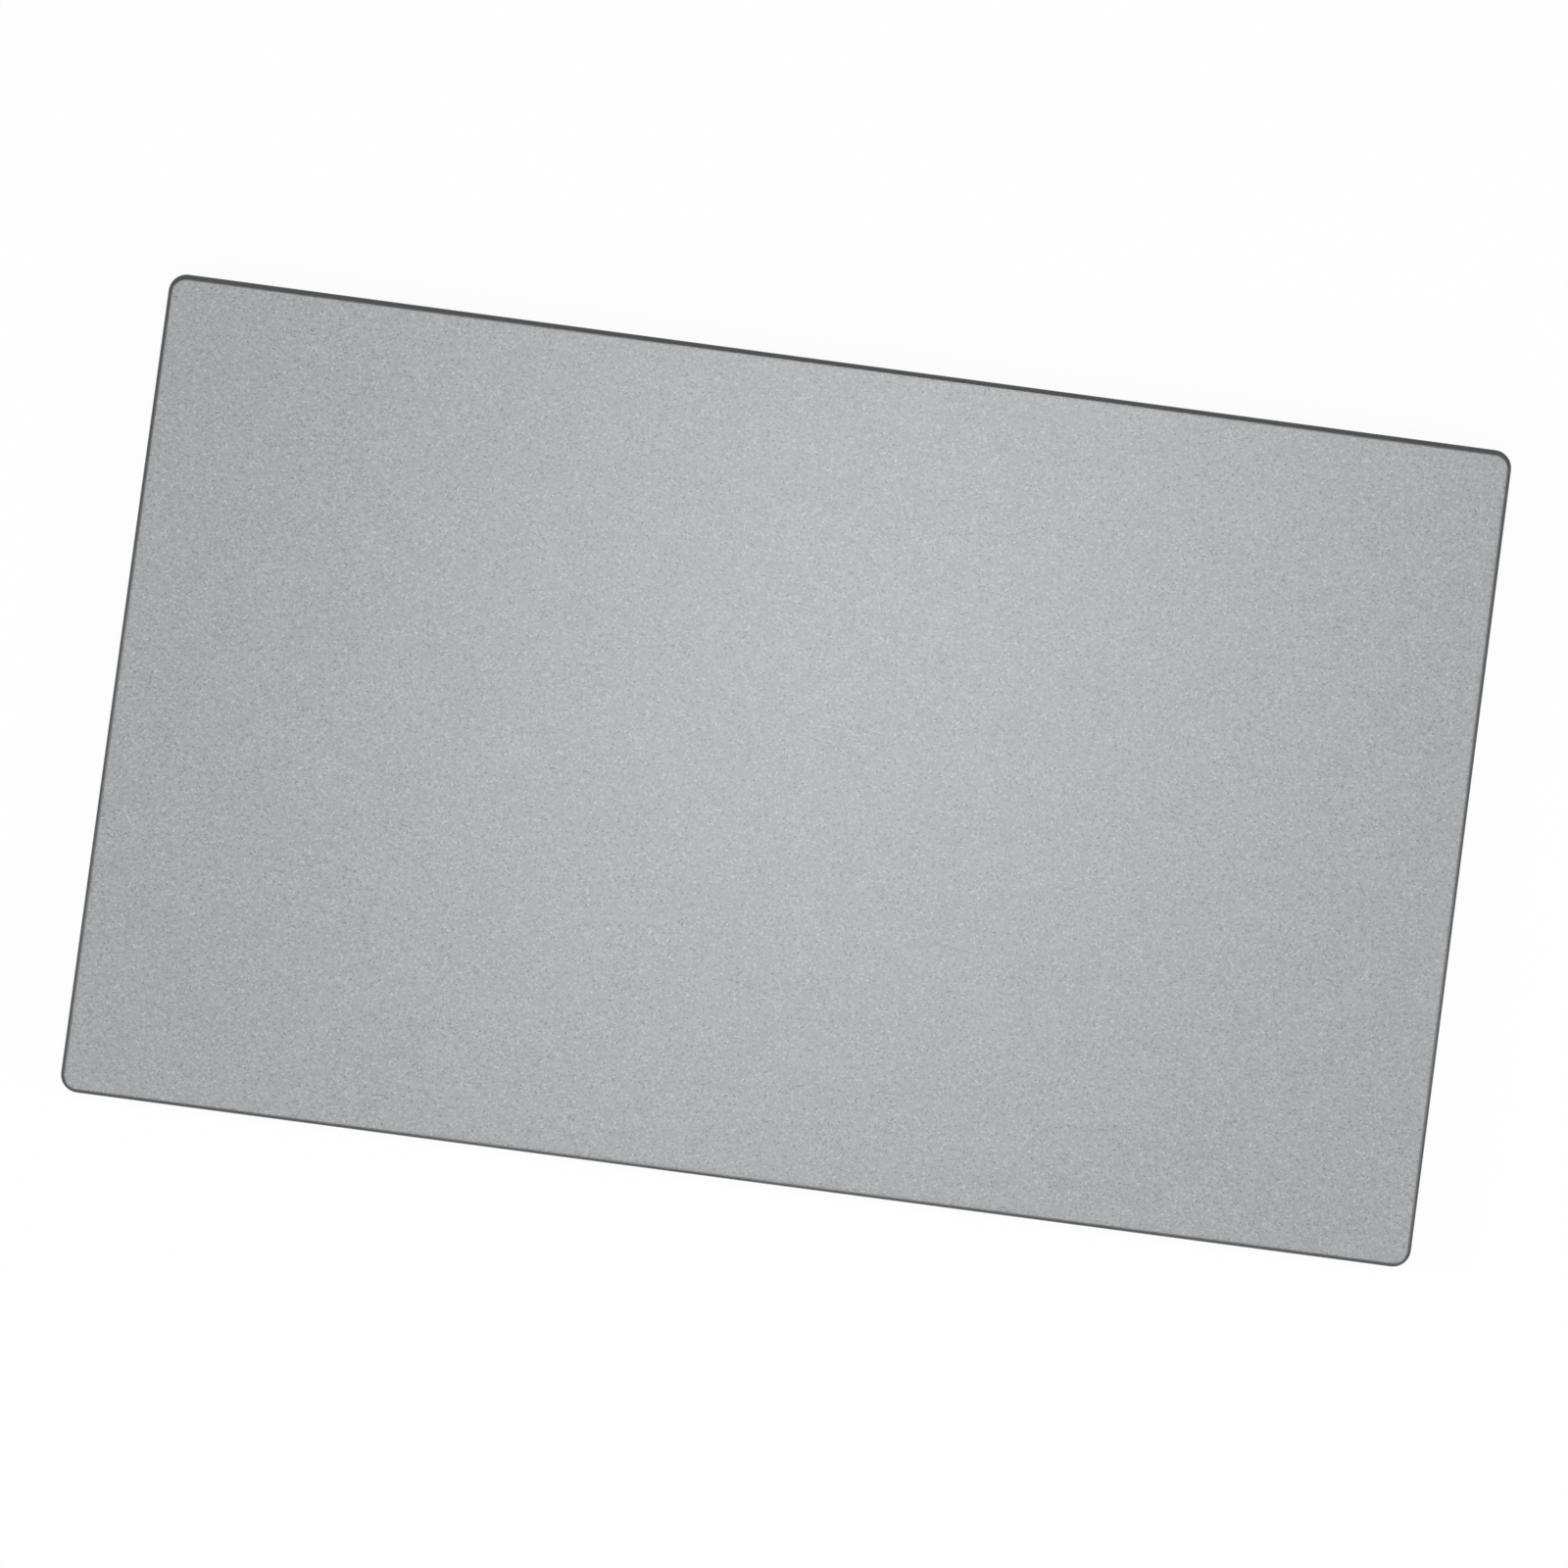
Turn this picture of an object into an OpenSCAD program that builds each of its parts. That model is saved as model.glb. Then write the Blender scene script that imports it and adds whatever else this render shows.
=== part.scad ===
// Force sensing trackpad module: a glass touch plate and its circuit board, carried on four
// cantilever leaf springs by two mounting rails, with a linear haptic motor under the board.
// Sizes are in millimetres. +X runs along the long side, +Y points away from the user, +Z is up.
// Z = 0 is the plane of the mounting posts, and the glass is centred on the origin.

/* [Touch plate] */
// Length of the glass, left to right
pad_w = 134; // [124:1:150]
// Depth of the glass, front to back
pad_d = 81.4; // [79:0.2:96]
// Plan radius of the glass corners
corner_r = 1.8; // [1.4:0.1:4]
// Thickness of the glass
glass_t = 1; // [0.8:0.05:1.4]
// Radius of the polished top edge of the glass
edge_r = 0.55; // [0.2:0.05:0.7]
// Chamfer along the lower edge of the glass
glass_arris = 0.12; // [0.05:0.01:0.2]
// Thickness of the bonding sheet under the glass
bond_t = 0.15; // [0.1:0.05:0.3]
// How far the bonding sheet stays inside the glass outline
bond_inset = 0.8; // [0.4:0.1:2]

/* [Sensor board] */
// Thickness of the circuit board
board_t = 0.8; // [0.7:0.1:1.2]
// How far the board stays inside the glass outline
board_inset = 1.2; // [0.8:0.1:2]
// Plan radius of the board corners
board_r = 1; // [0.5:0.1:2]
// Radius of the two tooling holes in the board
tooling_r = 1.25; // [0.8:0.05:1.6]
// Distance from the board's front and rear edges to the tooling holes
tooling_edge = 4; // [3:0.25:6]
// Distance from a rail to the tooling hole beside it
tooling_gap = 6; // [4:0.5:10]

/* [Mounting rails] */
// Distance from the side of the glass to the outer face of a rail
rail_inset = 5; // [3:0.5:8]
// Width of a rail over its folded flange
rail_w = 12; // [11:0.5:14]
// Length of a rail, front to back
rail_len = 74; // [72:0.5:76]
// Thickness of the rail sheet
rail_t = 0.8; // [0.6:0.1:1]
// Plan radius of the rail corners
rail_r = 2; // [0.5:0.5:3]
// Inner radius of the rail's fold
fold_r = 0.4; // [0.2:0.1:0.6]
// Length of flange cut away at each end of a rail
flange_end = 7; // [3:0.5:12]
// Width of the relief notch at each end of the fold
relief_w = 1; // [0.6:0.1:1.5]
// Depth of the relief notch into the rail's base
relief_d = 0.8; // [0.4:0.1:1.2]
// Radius of the flange's upper corners
flange_r = 0.4; // [0.2:0.1:0.7]
// Free room over the flange when the pad is fully pressed
flange_gap = 0.4; // [0.3:0.1:0.8]
// Width of the stiffening bead pressed into a rail
bead_w = 3; // [2:0.25:4]
// Height of the stiffening bead
bead_h = 0.4; // [0.2:0.1:0.6]
// Side wall of the stiffening bead
bead_wall = 0.6; // [0.4:0.1:0.8]

/* [Mounting posts] */
// Height of a post below the rail
post_h = 0.5; // [0.4:0.1:1]
// Radius of a post's seat
post_r = 2; // [1.8:0.1:2.5]
// Radius of a post's neck in the rail
post_neck_r = 1.5; // [1.3:0.1:1.6]
// Height of the clinched head over the rail
post_head_h = 0.25; // [0.15:0.05:0.4]
// Radius of the threaded hole in a post
thread_r = 0.8; // [0.6:0.05:1]
// Distance from a rail's end to the centre of its post
post_edge = 4; // [3:0.5:5]

/* [Leaf springs] */
// How far the pad goes down when it is fully pressed
press_travel = 0.25; // [0.1:0.05:0.4]
// Thickness of the spring steel
spring_t = 0.35; // [0.25:0.05:0.5]
// Distance from the middle of the pad to a spring's centre line
spring_y = 21; // [20:0.5:22]
// Length of a spring's root on its rail
root_len = 8; // [6:0.5:9]
// Width of a spring's root
root_w = 9; // [8:0.5:10]
// Radius of the outer corners of a leaf spring's root
root_r = 0.8; // [0.4:0.1:1.2]
// Distance between the two screws in a root
root_pitch = 5; // [4:0.25:5.5]
// Length of a spring's arm, from the rail to the boss
arm_len = 15; // [12:0.5:18]
// Width of a spring's arm
arm_w = 6; // [4:0.5:7]
// Radius of a spring's tip
tip_r = 3.2; // [3:0.1:3.6]
// Radius of the fillet between arm and root
root_fillet = 1.2; // [0.4:0.1:1.5]

/* [Strain gauges] */
// Length of a gauge along the arm
gauge_len = 5; // [4:0.5:6]
// Width of a gauge across the arm
gauge_w = 3.4; // [2.5:0.1:4]
// Radius of the corners of a gauge's film
patch_r = 0.4; // [0.2:0.05:0.8]
// Thickness of the gauge film and its tail
gauge_t = 0.1; // [0.06:0.02:0.16]
// Distance from the rail to a gauge
gauge_gap = 0.8; // [0.4:0.1:2]
// Width of a gauge's flexible tail
tail_w = 2.4; // [1.5:0.1:3]
// Inner radius of the tail's two bends
tail_bend = 0.45; // [0.3:0.05:0.55]
// Length of tail that lies on the board
tail_land = 3; // [2:0.25:4]
// Distance from the arm's edge to the tail's first bend
tail_clear = 0.4; // [0.3:0.1:1]

/* [Bumpers] */
// Radius of a silicone stop
bumper_r = 1.8; // [1.4:0.1:2.2]
// Radius of a stop's rounded top edge
bumper_edge = 0.4; // [0.2:0.1:0.6]
// Distance from a spring's root to the stop beside it
bumper_space = 1.5; // [0.5:0.25:3]
// Gap left over a stop when the pad is fully pressed
bumper_gap = 0.05; // [0.03:0.01:0.1]

/* [Bosses and screws] */
// Height of a boss between spring and board
boss_h = 1.6; // [1.5:0.05:2]
// Radius of a boss
boss_r = 2.2; // [2:0.1:2.6]
// Radius of a boss's rounded lower edge
boss_edge = 0.25; // [0.1:0.05:0.4]
// Radius of a boss's spigot in the board
spigot_r = 1.3; // [1.2:0.05:1.5]
// Radius of the spring and boss screws
screw_r = 0.8; // [0.6:0.05:0.85]
// Radius of their heads
head_r = 1.5; // [1.3:0.05:1.6]
// Height of their heads
head_h = 0.5; // [0.35:0.05:0.6]
// How deep a boss screw goes into its boss
boss_grip = 1.2; // [0.8:0.1:1.3]

/* [Haptic motor] */
// Length of the motor can
motor_w = 44; // [42:0.5:48]
// Depth of the motor can
motor_d = 20; // [18:0.5:22]
// Plan radius of the can's corners
can_r = 1.5; // [1:0.1:2]
// Radius of the can's drawn edge
can_edge = 0.4; // [0.2:0.1:0.6]
// Sheet thickness of the can
can_t = 0.3; // [0.2:0.05:0.4]
// Thickness of the motor's mounting plate
plate_t = 0.3; // [0.2:0.05:0.4]
// Thickness of the foam pad between plate and board
pad_t = 0.4; // [0.3:0.05:0.6]
// How far the foam pad stays inside the plate
pad_inset = 1; // [0.5:0.25:2]
// Radius of a mounting ear
ear_r = 2.2; // [2:0.1:2.6]
// Distance from the end of the can to the screw in an ear
ear_reach = 2.6; // [2.2:0.1:3]
// Radius of the motor screws
motor_screw_r = 0.6; // [0.5:0.05:0.7]
// Radius of the motor screws' heads
motor_head_r = 1.4; // [1.2:0.05:1.6]
// Height of the motor screws' heads
motor_head_h = 0.4; // [0.3:0.05:0.5]
// How deep a motor screw goes into the board
motor_grip = 0.4; // [0.3:0.05:0.5]

/* [Moving weight] */
// How far the weight swings to each side
shake_travel = 0.4; // [0.2:0.05:0.6]
// Length of the weight
weight_w = 28; // [26:0.5:30]
// Radius of the weight's corners
weight_r = 0.4; // [0.2:0.1:0.6]
// Thickness of the weight
weight_t = 1.1; // [0.9:0.05:1.2]
// Free room beside the weight, front and back
weight_side = 0.8; // [0.5:0.1:1.2]
// Thickness of the weight's long walls
weight_wall = 1.7; // [1.4:0.1:2]
// Length of the window in the weight
window_w = 18; // [17.5:0.5:19]
// Thickness of the steel yoke under the weight
yoke_t = 0.2; // [0.15:0.05:0.3]
// Running gap over and under the moving weight
motor_gap = 0.15; // [0.1:0.05:0.2]
// Length of the coil
coil_w = 15.6; // [14:0.2:16]
// Depth of the coil
coil_d = 12; // [11:0.2:12.4]
// Width of the coil's winding
coil_band = 3.6; // [3:0.1:4]
// Height of the coil
coil_t = 0.5; // [0.4:0.05:0.6]
// Thickness of the weight's folded springs
fold_t = 0.2; // [0.15:0.05:0.3]
// Length of the foot where a folded spring is welded to the weight
foot_len = 3.4; // [2.5:0.1:4]
// Width of the motor's flexible lead
lead_w = 5; // [4:0.5:6]
// Thickness of the motor's flexible lead
lead_t = 0.1; // [0.06:0.02:0.14]
// Length of the lead's slope up to the board
lead_slope = 1.4; // [1:0.1:2]
// Length of the lead that lies on the board
lead_land = 3; // [2:0.25:4]

/* [Ribbon socket] */
// Number of contacts
contact_count = 16; // [10:1:20]
// Distance between contacts
contact_pitch = 1; // [0.8:0.05:1.1]
// Width of a contact
contact_w = 0.4; // [0.3:0.05:0.5]
// Thickness of a contact
contact_t = 0.12; // [0.1:0.01:0.15]
// Length of a contact's solder foot
contact_foot = 0.7; // [0.5:0.1:1]
// Distance from the board's rear edge to the socket's mouth
socket_edge = 2; // [1:0.25:3]
// Thickness of the socket's floor
floor_t = 0.3; // [0.25:0.05:0.4]
// Depth of the socket's floor
floor_d = 4.2; // [4:0.1:4.6]
// Depth of the socket's roof
roof_d = 2.6; // [2.2:0.1:2.8]
// Thickness of the socket's roof
roof_t = 0.38; // [0.32:0.02:0.5]
// Height of the slot that takes the ribbon
ribbon_gap = 0.4; // [0.35:0.05:0.5]
// Chamfer that leads the ribbon into the mouth
lead_in = 0.2; // [0.1:0.05:0.25]
// Thickness of the socket's cheeks
cheek_t = 1; // [0.8:0.1:1.5]
// Thickness of the latch
latch_t = 0.5; // [0.4:0.05:0.55]
// Length of the latch from its pivot
latch_len = 1.9; // [1.6:0.1:2.2]
// Depth of the slots over the contacts, from the latch's pivot edge
comb_d = 0.9; // [0.6:0.1:1.2]
// Radius of the latch's pivot pins
pin_r = 0.2; // [0.15:0.01:0.21]
// Length of a pivot pin in its cheek
pin_len = 0.6; // [0.4:0.05:0.7]

/* [Chips] */
// Side of the touch controller
touch_side = 9; // [7:0.5:10]
// Side of the system controller
system_side = 7; // [6:0.5:8]
// Side of the motor driver
driver_side = 4; // [3:0.5:5]
// Length of the gauge converter's body
converter_w = 5; // [4:0.5:6]
// Depth of the gauge converter's body
converter_d = 4.4; // [4:0.2:5]
// Length of the memory chip
memory_w = 4; // [3:0.5:5]
// Depth of the memory chip
memory_d = 3; // [2:0.5:3.5]
// Height of the chips
chip_h = 0.9; // [0.6:0.05:1.1]
// Length of the clock crystal
crystal_w = 3.2; // [2.5:0.1:3.6]
// Depth of the clock crystal
crystal_d = 2.5; // [2:0.1:2.8]
// Length of a capacitor
capacitor_len = 1.6; // [1:0.1:2]
// Length of a resistor
resistor_len = 1; // [0.6:0.1:1.4]

/* [Hidden] */
$fn = 64;
// Small overcut for holes that go right through
cut = 0.05;

// Named clearances
neck_clear = 0.02;
hole_clear = 0.15;
thread_clear = 0.03;
pin_clear = 0.06;
latch_gap = 0.12;
notch_clear = 0.3;
end_clear = 0.4;
spigot_short = 0.1;
relief_clear = 0.2;
magnet_clear = 0.3;
fold_clear = 0.1;
slot_clear = 0.5;
comb_clear = 0.06;

// Heights, from the mounting plane up
rail_z = post_h;
spring_z = rail_z + rail_t;
boss_z = spring_z + spring_t;
board_z = boss_z + boss_h;
bond_z = board_z + board_t;
glass_z = bond_z + bond_t;

// Board
board_w = pad_w - 2 * board_inset;
board_d = pad_d - 2 * board_inset;

// Rails and springs: the inner edge of a rail is where a spring's arm starts
rail_in = pad_w / 2 - rail_inset - rail_w;
fold_out = fold_r + rail_t;
base_w = rail_w - fold_out;
base_x = rail_in + base_w / 2;
flange_top = board_z - press_travel - flange_gap;
flange_len = rail_len - 2 * flange_end;
post_y = rail_len / 2 - post_edge;
post_head_r = post_neck_r + post_head_h;
tip_x = rail_in - arm_len;
bumper_y = spring_y - root_w / 2 - bumper_space - bumper_r;
bumper_h = board_z - spring_z - press_travel - bumper_gap;
bead_len = 2 * (bumper_y - bumper_r - bumper_space);
spigot_h = board_t - spigot_short;

// Share of a screw head's radius and height that its six-sided drive takes
drive_share = 0.55;

// Motor: heights are measured down from the board
plate_h = pad_t;
can_top = plate_h + plate_t;
weight_top = can_top + lead_t + motor_gap;
weight_low = weight_top + weight_t;
can_h = lead_t + 2 * motor_gap + weight_t + yoke_t + can_t;
magnet_t = weight_t - coil_t;
can_in_w = motor_w - 2 * can_t;
can_in_d = motor_d - 2 * can_t;
can_in_r = can_r - can_t;
ear_x = motor_w / 2 + ear_reach;
ear_y = motor_d / 2 - ear_r;
nut_wall = 0.4;
nut_r = motor_head_r + nut_wall;
nut_spigot_r = motor_screw_r + nut_wall;
weight_d = can_in_d - 2 * weight_side;
window_d = weight_d - 2 * weight_wall;
weight_relief = shake_travel + relief_clear;
coil_in_r = 0.4;
magnet_w = window_w / 2 - 2 * magnet_clear;
magnet_d = window_d - 2 * magnet_clear;
fold_span = (can_in_w - weight_w) / 2;
fold_bend_y = can_in_d / 2 - end_clear - fold_span / 2;
fold_start_y = -(motor_d / 2 - can_r - can_t);
fold_h = weight_t - 2 * fold_clear;

// Ribbon socket: heights are measured down from the board
slot_w = contact_count * contact_pitch + 2 * slot_clear;
socket_w = slot_w + 2 * cheek_t;
socket_h = floor_t + contact_t + ribbon_gap + roof_t;
socket_y = board_d / 2 - socket_edge;
socket_back = socket_y - floor_d - contact_foot;
pivot_y = roof_d + latch_gap + latch_t / 2;
pivot_h = floor_t + contact_t + latch_gap + latch_t / 2;
cheek_back = 0.5;
cheek_d = pivot_y + pin_r + pin_clear + cheek_back;
anchor_t = 0.15;
anchor_h = 0.8;
anchor_foot = 0.8;
anchor_len = 2;
// How far the contacts and anchors stay back from the mouth
mouth_back = 0.4;

// Chips stand in a row between the motor and the socket: places are from the middle of the row
chip_shift = 2.3;
chip_y = (motor_d / 2 + socket_back) / 2 - chip_shift;
touch_x = -13;
system_x = 0;
driver_x = 11;
memory_x = 10;
converter_x = 20;
crystal_x = -4;
driver_drop = 3;
memory_lift = 3.5;
crystal_lift = 8;
driver_at = [driver_x, chip_y - driver_drop];
memory_at = [memory_x, chip_y + memory_lift];
converter_at = [converter_x, chip_y];
crystal_at = [crystal_x, chip_y + crystal_lift];
substrate_h = 0.25;
mould_inset = 0.3;
mould_draft = 0.08;
// Terminals round the chips: how many on a side, and their size
touch_terminals = 16;
system_terminals = 12;
driver_terminals = 7;
memory_terminals = 4;
terminal_w = 0.22;
terminal_t = 0.06;
terminal_reach = 0.2;
terminal_root = 0.3;
dimple_r = 0.35;
dimple_depth = 0.08;
dimple_edge = 1.1;
// Legs of the gauge converter, which leave its body where the mould halves meet
parting = chip_h / 2;
leg_count = 7;
leg_pitch = 0.65;
leg_w = 0.25;
leg_t = 0.12;
leg_root = 0.2;
leg_out = 0.35;
leg_skew = 0.1;
leg_foot = 0.5;
leg_reach = 1;

// Small parts stand in rows beside the chips and in columns beside the socket
capacitor_gap = 1.7;
capacitor_step = 2.2;
resistor_gap = 1.4;
resistor_step = 1.6;
column_gap = 4;
column_back = 1;
column_step = 1.2;

// Part colours
glass_grey = [0.47, 0.48, 0.49];
film_grey = [0.55, 0.55, 0.53];
board_black = [0.06, 0.07, 0.08];
steel = [0.62, 0.63, 0.64];
spring_steel = [0.72, 0.72, 0.7];
screw_dark = [0.2, 0.2, 0.21];
amber = [0.72, 0.42, 0.12];
silicone = [0.16, 0.16, 0.17];
brass = [0.78, 0.62, 0.32];
chip_black = [0.1, 0.1, 0.11];
copper = [0.72, 0.42, 0.25];
tan = [0.6, 0.48, 0.34];
ivory = [0.84, 0.8, 0.72];
gold = [0.83, 0.66, 0.3];
nickel = [0.7, 0.7, 0.68];
tungsten = [0.36, 0.36, 0.37];
foam = [0.24, 0.24, 0.25];

// Shared shapes

// Rectangle with rounded corners, centred
module rounded_rect(w, d, r) {
  square([w - 2 * r, d], center = true);
  square([w, d - 2 * r], center = true);
  for (x = [-1, 1], y = [-1, 1])
    translate([x * (w / 2 - r), y * (d / 2 - r)]) circle(r);
}

// Slot with round ends, along Y, centred
module stadium(w, len) {
  square([w, len - w], center = true);
  for (y = [-1, 1]) translate([0, y * (len - w) / 2]) circle(w / 2);
}

// Part of a ring, from the angle start on through turn
module ring_part(inner, outer, start, turn) {
  far = 2 * outer;
  rotate(start) intersection() {
    difference() {
      circle(outer);
      circle(inner);
    }
    polygon([
      [0, 0], [far, 0], [far * cos(turn / 2), far * sin(turn / 2)], [far * cos(turn), far * sin(turn)]
    ]);
  }
}

// Section of a plate's rim: r wide, t thick, top outer corner rounded by e, lower one chamfered by a
module rim_section(r, t, e, a = 0) {
  square([r - e, t]);
  difference() {
    square([r, t - e]);
    if (a > 0) polygon([[r - a, 0], [r, 0], [r, a]]);
  }
  translate([r - e, t - e]) quarter_disc(e);
}

// Quarter of a disc, in the +X +Y corner
module quarter_disc(r) {
  intersection() {
    circle(r);
    square(r);
  }
}

// Quarter of a ring, in the +X +Y corner
module quarter_ring(inner, outer) {
  difference() {
    quarter_disc(outer);
    circle(inner);
  }
}

// Round-topped arch of radius r, with legs down to -Y
module arch(r, leg) {
  circle(r);
  translate([-r, -leg]) square([2 * r, leg]);
}

// Corner left between two edges when a fillet of radius r is laid into it, in the +X +Y corner
module fillet(r) {
  difference() {
    square(r);
    translate([r, r]) circle(r);
  }
}

// Plate with rounded corners, a rounded top edge and a chamfer a below: one rim section carried round
module soft_plate(w, d, t, r, e, a = 0) {
  linear_extrude(t) square([w - 2 * r, d - 2 * r], center = true);
  for (turn = [0, 180]) rotate(turn) {
    translate([r - w / 2, d / 2 - r, 0])
      rotate([90, 0, 90]) linear_extrude(w - 2 * r) rim_section(r, t, e, a);
    translate([w / 2 - r, d / 2 - r, 0])
      rotate([90, 0, 0]) linear_extrude(d - 2 * r) rim_section(r, t, e, a);
    translate([w / 2 - r, d / 2 - r, 0])
      rotate_extrude(angle = 90) rim_section(r, t, e, a);
    translate([r - w / 2, d / 2 - r, 0])
      rotate(90) rotate_extrude(angle = 90) rim_section(r, t, e, a);
  }
}

// Screw with its shank up from z = 0 and its rounded head below
module screw(shank_r, shank_len, top_r, top_h) {
  difference() {
    union() {
      cylinder(r = shank_r, h = shank_len);
      mirror([0, 0, 1]) rotate_extrude() rim_section(top_r, top_h, top_h / 2);
    }
    translate([0, 0, -top_h - cut])
      cylinder(r = drive_share * top_r, h = top_h * drive_share + cut, $fn = 6);
  }
}

// Children drawn for the rear right corner, moved to another corner
module corner(side, end) {
  mirror([side < 0 ? 1 : 0, 0, 0]) mirror([0, end < 0 ? 1 : 0, 0]) children();
}

// Children repeated at all four corners
module four_corners() {
  for (side = [-1, 1], end = [-1, 1]) corner(side, end) children();
}

// Children drawn below the board: their z counts down from the board's underside
module under_board() {
  translate([0, 0, board_z]) mirror([0, 0, 1]) children();
}

// Touch plate and board

module glass_plate() {
  color(glass_grey) translate([0, 0, glass_z])
    soft_plate(pad_w, pad_d, glass_t, corner_r, edge_r, glass_arris);
}

module bonding_sheet() {
  color(film_grey) translate([0, 0, bond_z]) linear_extrude(bond_t)
    rounded_rect(pad_w - 2 * bond_inset, pad_d - 2 * bond_inset, board_r);
}

module sensor_board() {
  color(board_black) translate([0, 0, board_z]) difference() {
    linear_extrude(board_t) rounded_rect(board_w, board_d, board_r);
    four_corners() translate([tip_x, spring_y, -cut])
      cylinder(r = spigot_r + thread_clear, h = board_t + 2 * cut);
    four_corners() translate([ear_x, ear_y, -cut])
      cylinder(r = nut_spigot_r + thread_clear, h = board_t + 2 * cut);
    for (turn = [0, 180]) rotate(turn)
      translate([rail_in - tooling_gap, board_d / 2 - tooling_edge, -cut])
        cylinder(r = tooling_r, h = board_t + 2 * cut);
  }
}

// Rails, posts and springs

// Rail's fold seen along +Y from its inner edge
module fold_section() {
  translate([base_w, fold_out]) mirror([0, 1]) quarter_ring(fold_r, fold_out);
}

// Flange seen from the side, from the top of the fold up, with rounded upper corners
module flange_outline() {
  h = flange_top - rail_z - fold_out;
  r = min(flange_r, h / 2);
  translate([-flange_len / 2, 0]) square([flange_len, h - r]);
  translate([r - flange_len / 2, 0]) square([flange_len - 2 * r, h]);
  for (end = [-1, 1]) translate([end * (flange_len / 2 - r), h - r]) circle(r);
}

module rail() {
  color(steel) translate([rail_in, 0, rail_z]) difference() {
    union() {
      translate([base_w / 2, 0, 0]) linear_extrude(rail_t) rounded_rect(base_w, rail_len, rail_r);
      translate([0, flange_len / 2, 0]) rotate([90, 0, 0]) linear_extrude(flange_len) fold_section();
      translate([rail_w - rail_t, 0, fold_out]) rotate([90, 0, 90]) linear_extrude(rail_t) flange_outline();
      translate([base_w / 2, 0, rail_t]) linear_extrude(bead_h) stadium(bead_w, bead_len);
    }
    translate([base_w / 2, 0, -cut]) linear_extrude(bead_h + cut)
      stadium(bead_w - 2 * bead_wall, bead_len - 2 * bead_wall);
    for (end = [-1, 1]) {
      translate([base_w - relief_d, end * (flange_len + relief_w) / 2 - relief_w / 2, -cut])
        cube([relief_d + cut, relief_w, rail_t + 2 * cut]);
      translate([base_w / 2, end * post_y, -cut])
        cylinder(r = post_neck_r + neck_clear, h = rail_t + 2 * cut);
      for (side = [-1, 1])
        translate([root_len / 2, end * spring_y + side * root_pitch / 2, -cut])
          cylinder(r = screw_r + thread_clear, h = rail_t + 2 * cut);
    }
  }
}

module left_rail() {
  mirror([1, 0, 0]) rail();
}

module right_rail() {
  rail();
}

module mount_posts() {
  color(nickel) four_corners() translate([base_x, post_y, 0]) difference() {
    union() {
      cylinder(r = post_r, h = post_h);
      cylinder(r = post_neck_r, h = post_h + rail_t);
      translate([0, 0, post_h + rail_t]) cylinder(r = post_head_r, h = post_head_h);
    }
    translate([0, 0, -cut]) cylinder(r = thread_r, h = post_h + rail_t + post_head_h + 2 * cut);
  }
}

// Plan of a leaf spring: x = 0 is the rail's inner edge, and the arm reaches to -X
module leaf_outline() {
  fillet_r = min(root_fillet, (root_w - arm_w) / 2);
  translate([0, -root_w / 2]) square([root_len - root_r, root_w]);
  translate([0, root_r - root_w / 2]) square([root_len, root_w - 2 * root_r]);
  for (side = [-1, 1]) translate([root_len - root_r, side * (root_w / 2 - root_r)]) circle(root_r);
  translate([-arm_len, -arm_w / 2]) square([arm_len, arm_w]);
  translate([-arm_len, 0]) circle(tip_r);
  for (side = [0, 1]) mirror([0, side]) translate([0, arm_w / 2]) mirror([1, 0]) fillet(fillet_r);
}

module leaf_spring() {
  color(spring_steel) translate([rail_in, spring_y, spring_z]) difference() {
    linear_extrude(spring_t) leaf_outline();
    for (side = [-1, 1]) translate([root_len / 2, side * root_pitch / 2, -cut])
      cylinder(r = screw_r + hole_clear, h = spring_t + 2 * cut);
    translate([-arm_len, 0, -cut]) cylinder(r = screw_r + hole_clear, h = spring_t + 2 * cut);
  }
}

module front_left_spring() {
  corner(-1, -1) leaf_spring();
}

module front_right_spring() {
  corner(1, -1) leaf_spring();
}

module rear_left_spring() {
  corner(-1, 1) leaf_spring();
}

module rear_right_spring() {
  corner(1, 1) leaf_spring();
}

module spring_screws() {
  color(screw_dark) four_corners() for (side = [-1, 1])
    translate([rail_in + root_len / 2, spring_y + side * root_pitch / 2, boss_z])
      mirror([0, 0, 1]) screw(screw_r, spring_t + rail_t, head_r, head_h);
}

// Strain gauges and bumpers

// Section of a gauge's tail across the arm: flat under the arm, up past its edge, flat on the board
module tail_section() {
  first = -(arm_w / 2 + tail_clear);
  second = first - 2 * tail_bend - gauge_t;
  rise = board_z - spring_z;
  translate([first, -gauge_t]) square([-first, gauge_t]);
  translate([first, tail_bend]) rotate(180) quarter_ring(tail_bend, tail_bend + gauge_t);
  translate([second + tail_bend, tail_bend]) square([gauge_t, rise - 2 * tail_bend - gauge_t]);
  translate([second, rise - tail_bend - gauge_t]) quarter_ring(tail_bend, tail_bend + gauge_t);
  translate([second - tail_land, rise - gauge_t]) square([tail_land, gauge_t]);
}

module gauge() {
  color(amber) translate([rail_in - gauge_gap - gauge_len, spring_y, spring_z]) {
    translate([gauge_len / 2, 0, -gauge_t])
      linear_extrude(gauge_t) rounded_rect(gauge_len, gauge_w, patch_r);
    translate([(gauge_len - tail_w) / 2, 0, 0]) rotate([90, 0, 90])
      linear_extrude(tail_w) tail_section();
  }
}

module front_left_gauge() {
  corner(-1, -1) gauge();
}

module front_right_gauge() {
  corner(1, -1) gauge();
}

module rear_left_gauge() {
  corner(-1, 1) gauge();
}

module rear_right_gauge() {
  corner(1, 1) gauge();
}

module bumper() {
  color(silicone) translate([base_x, bumper_y, spring_z])
    rotate_extrude() rim_section(bumper_r, bumper_h, bumper_edge);
}

module front_left_bumper() {
  corner(-1, -1) bumper();
}

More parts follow.
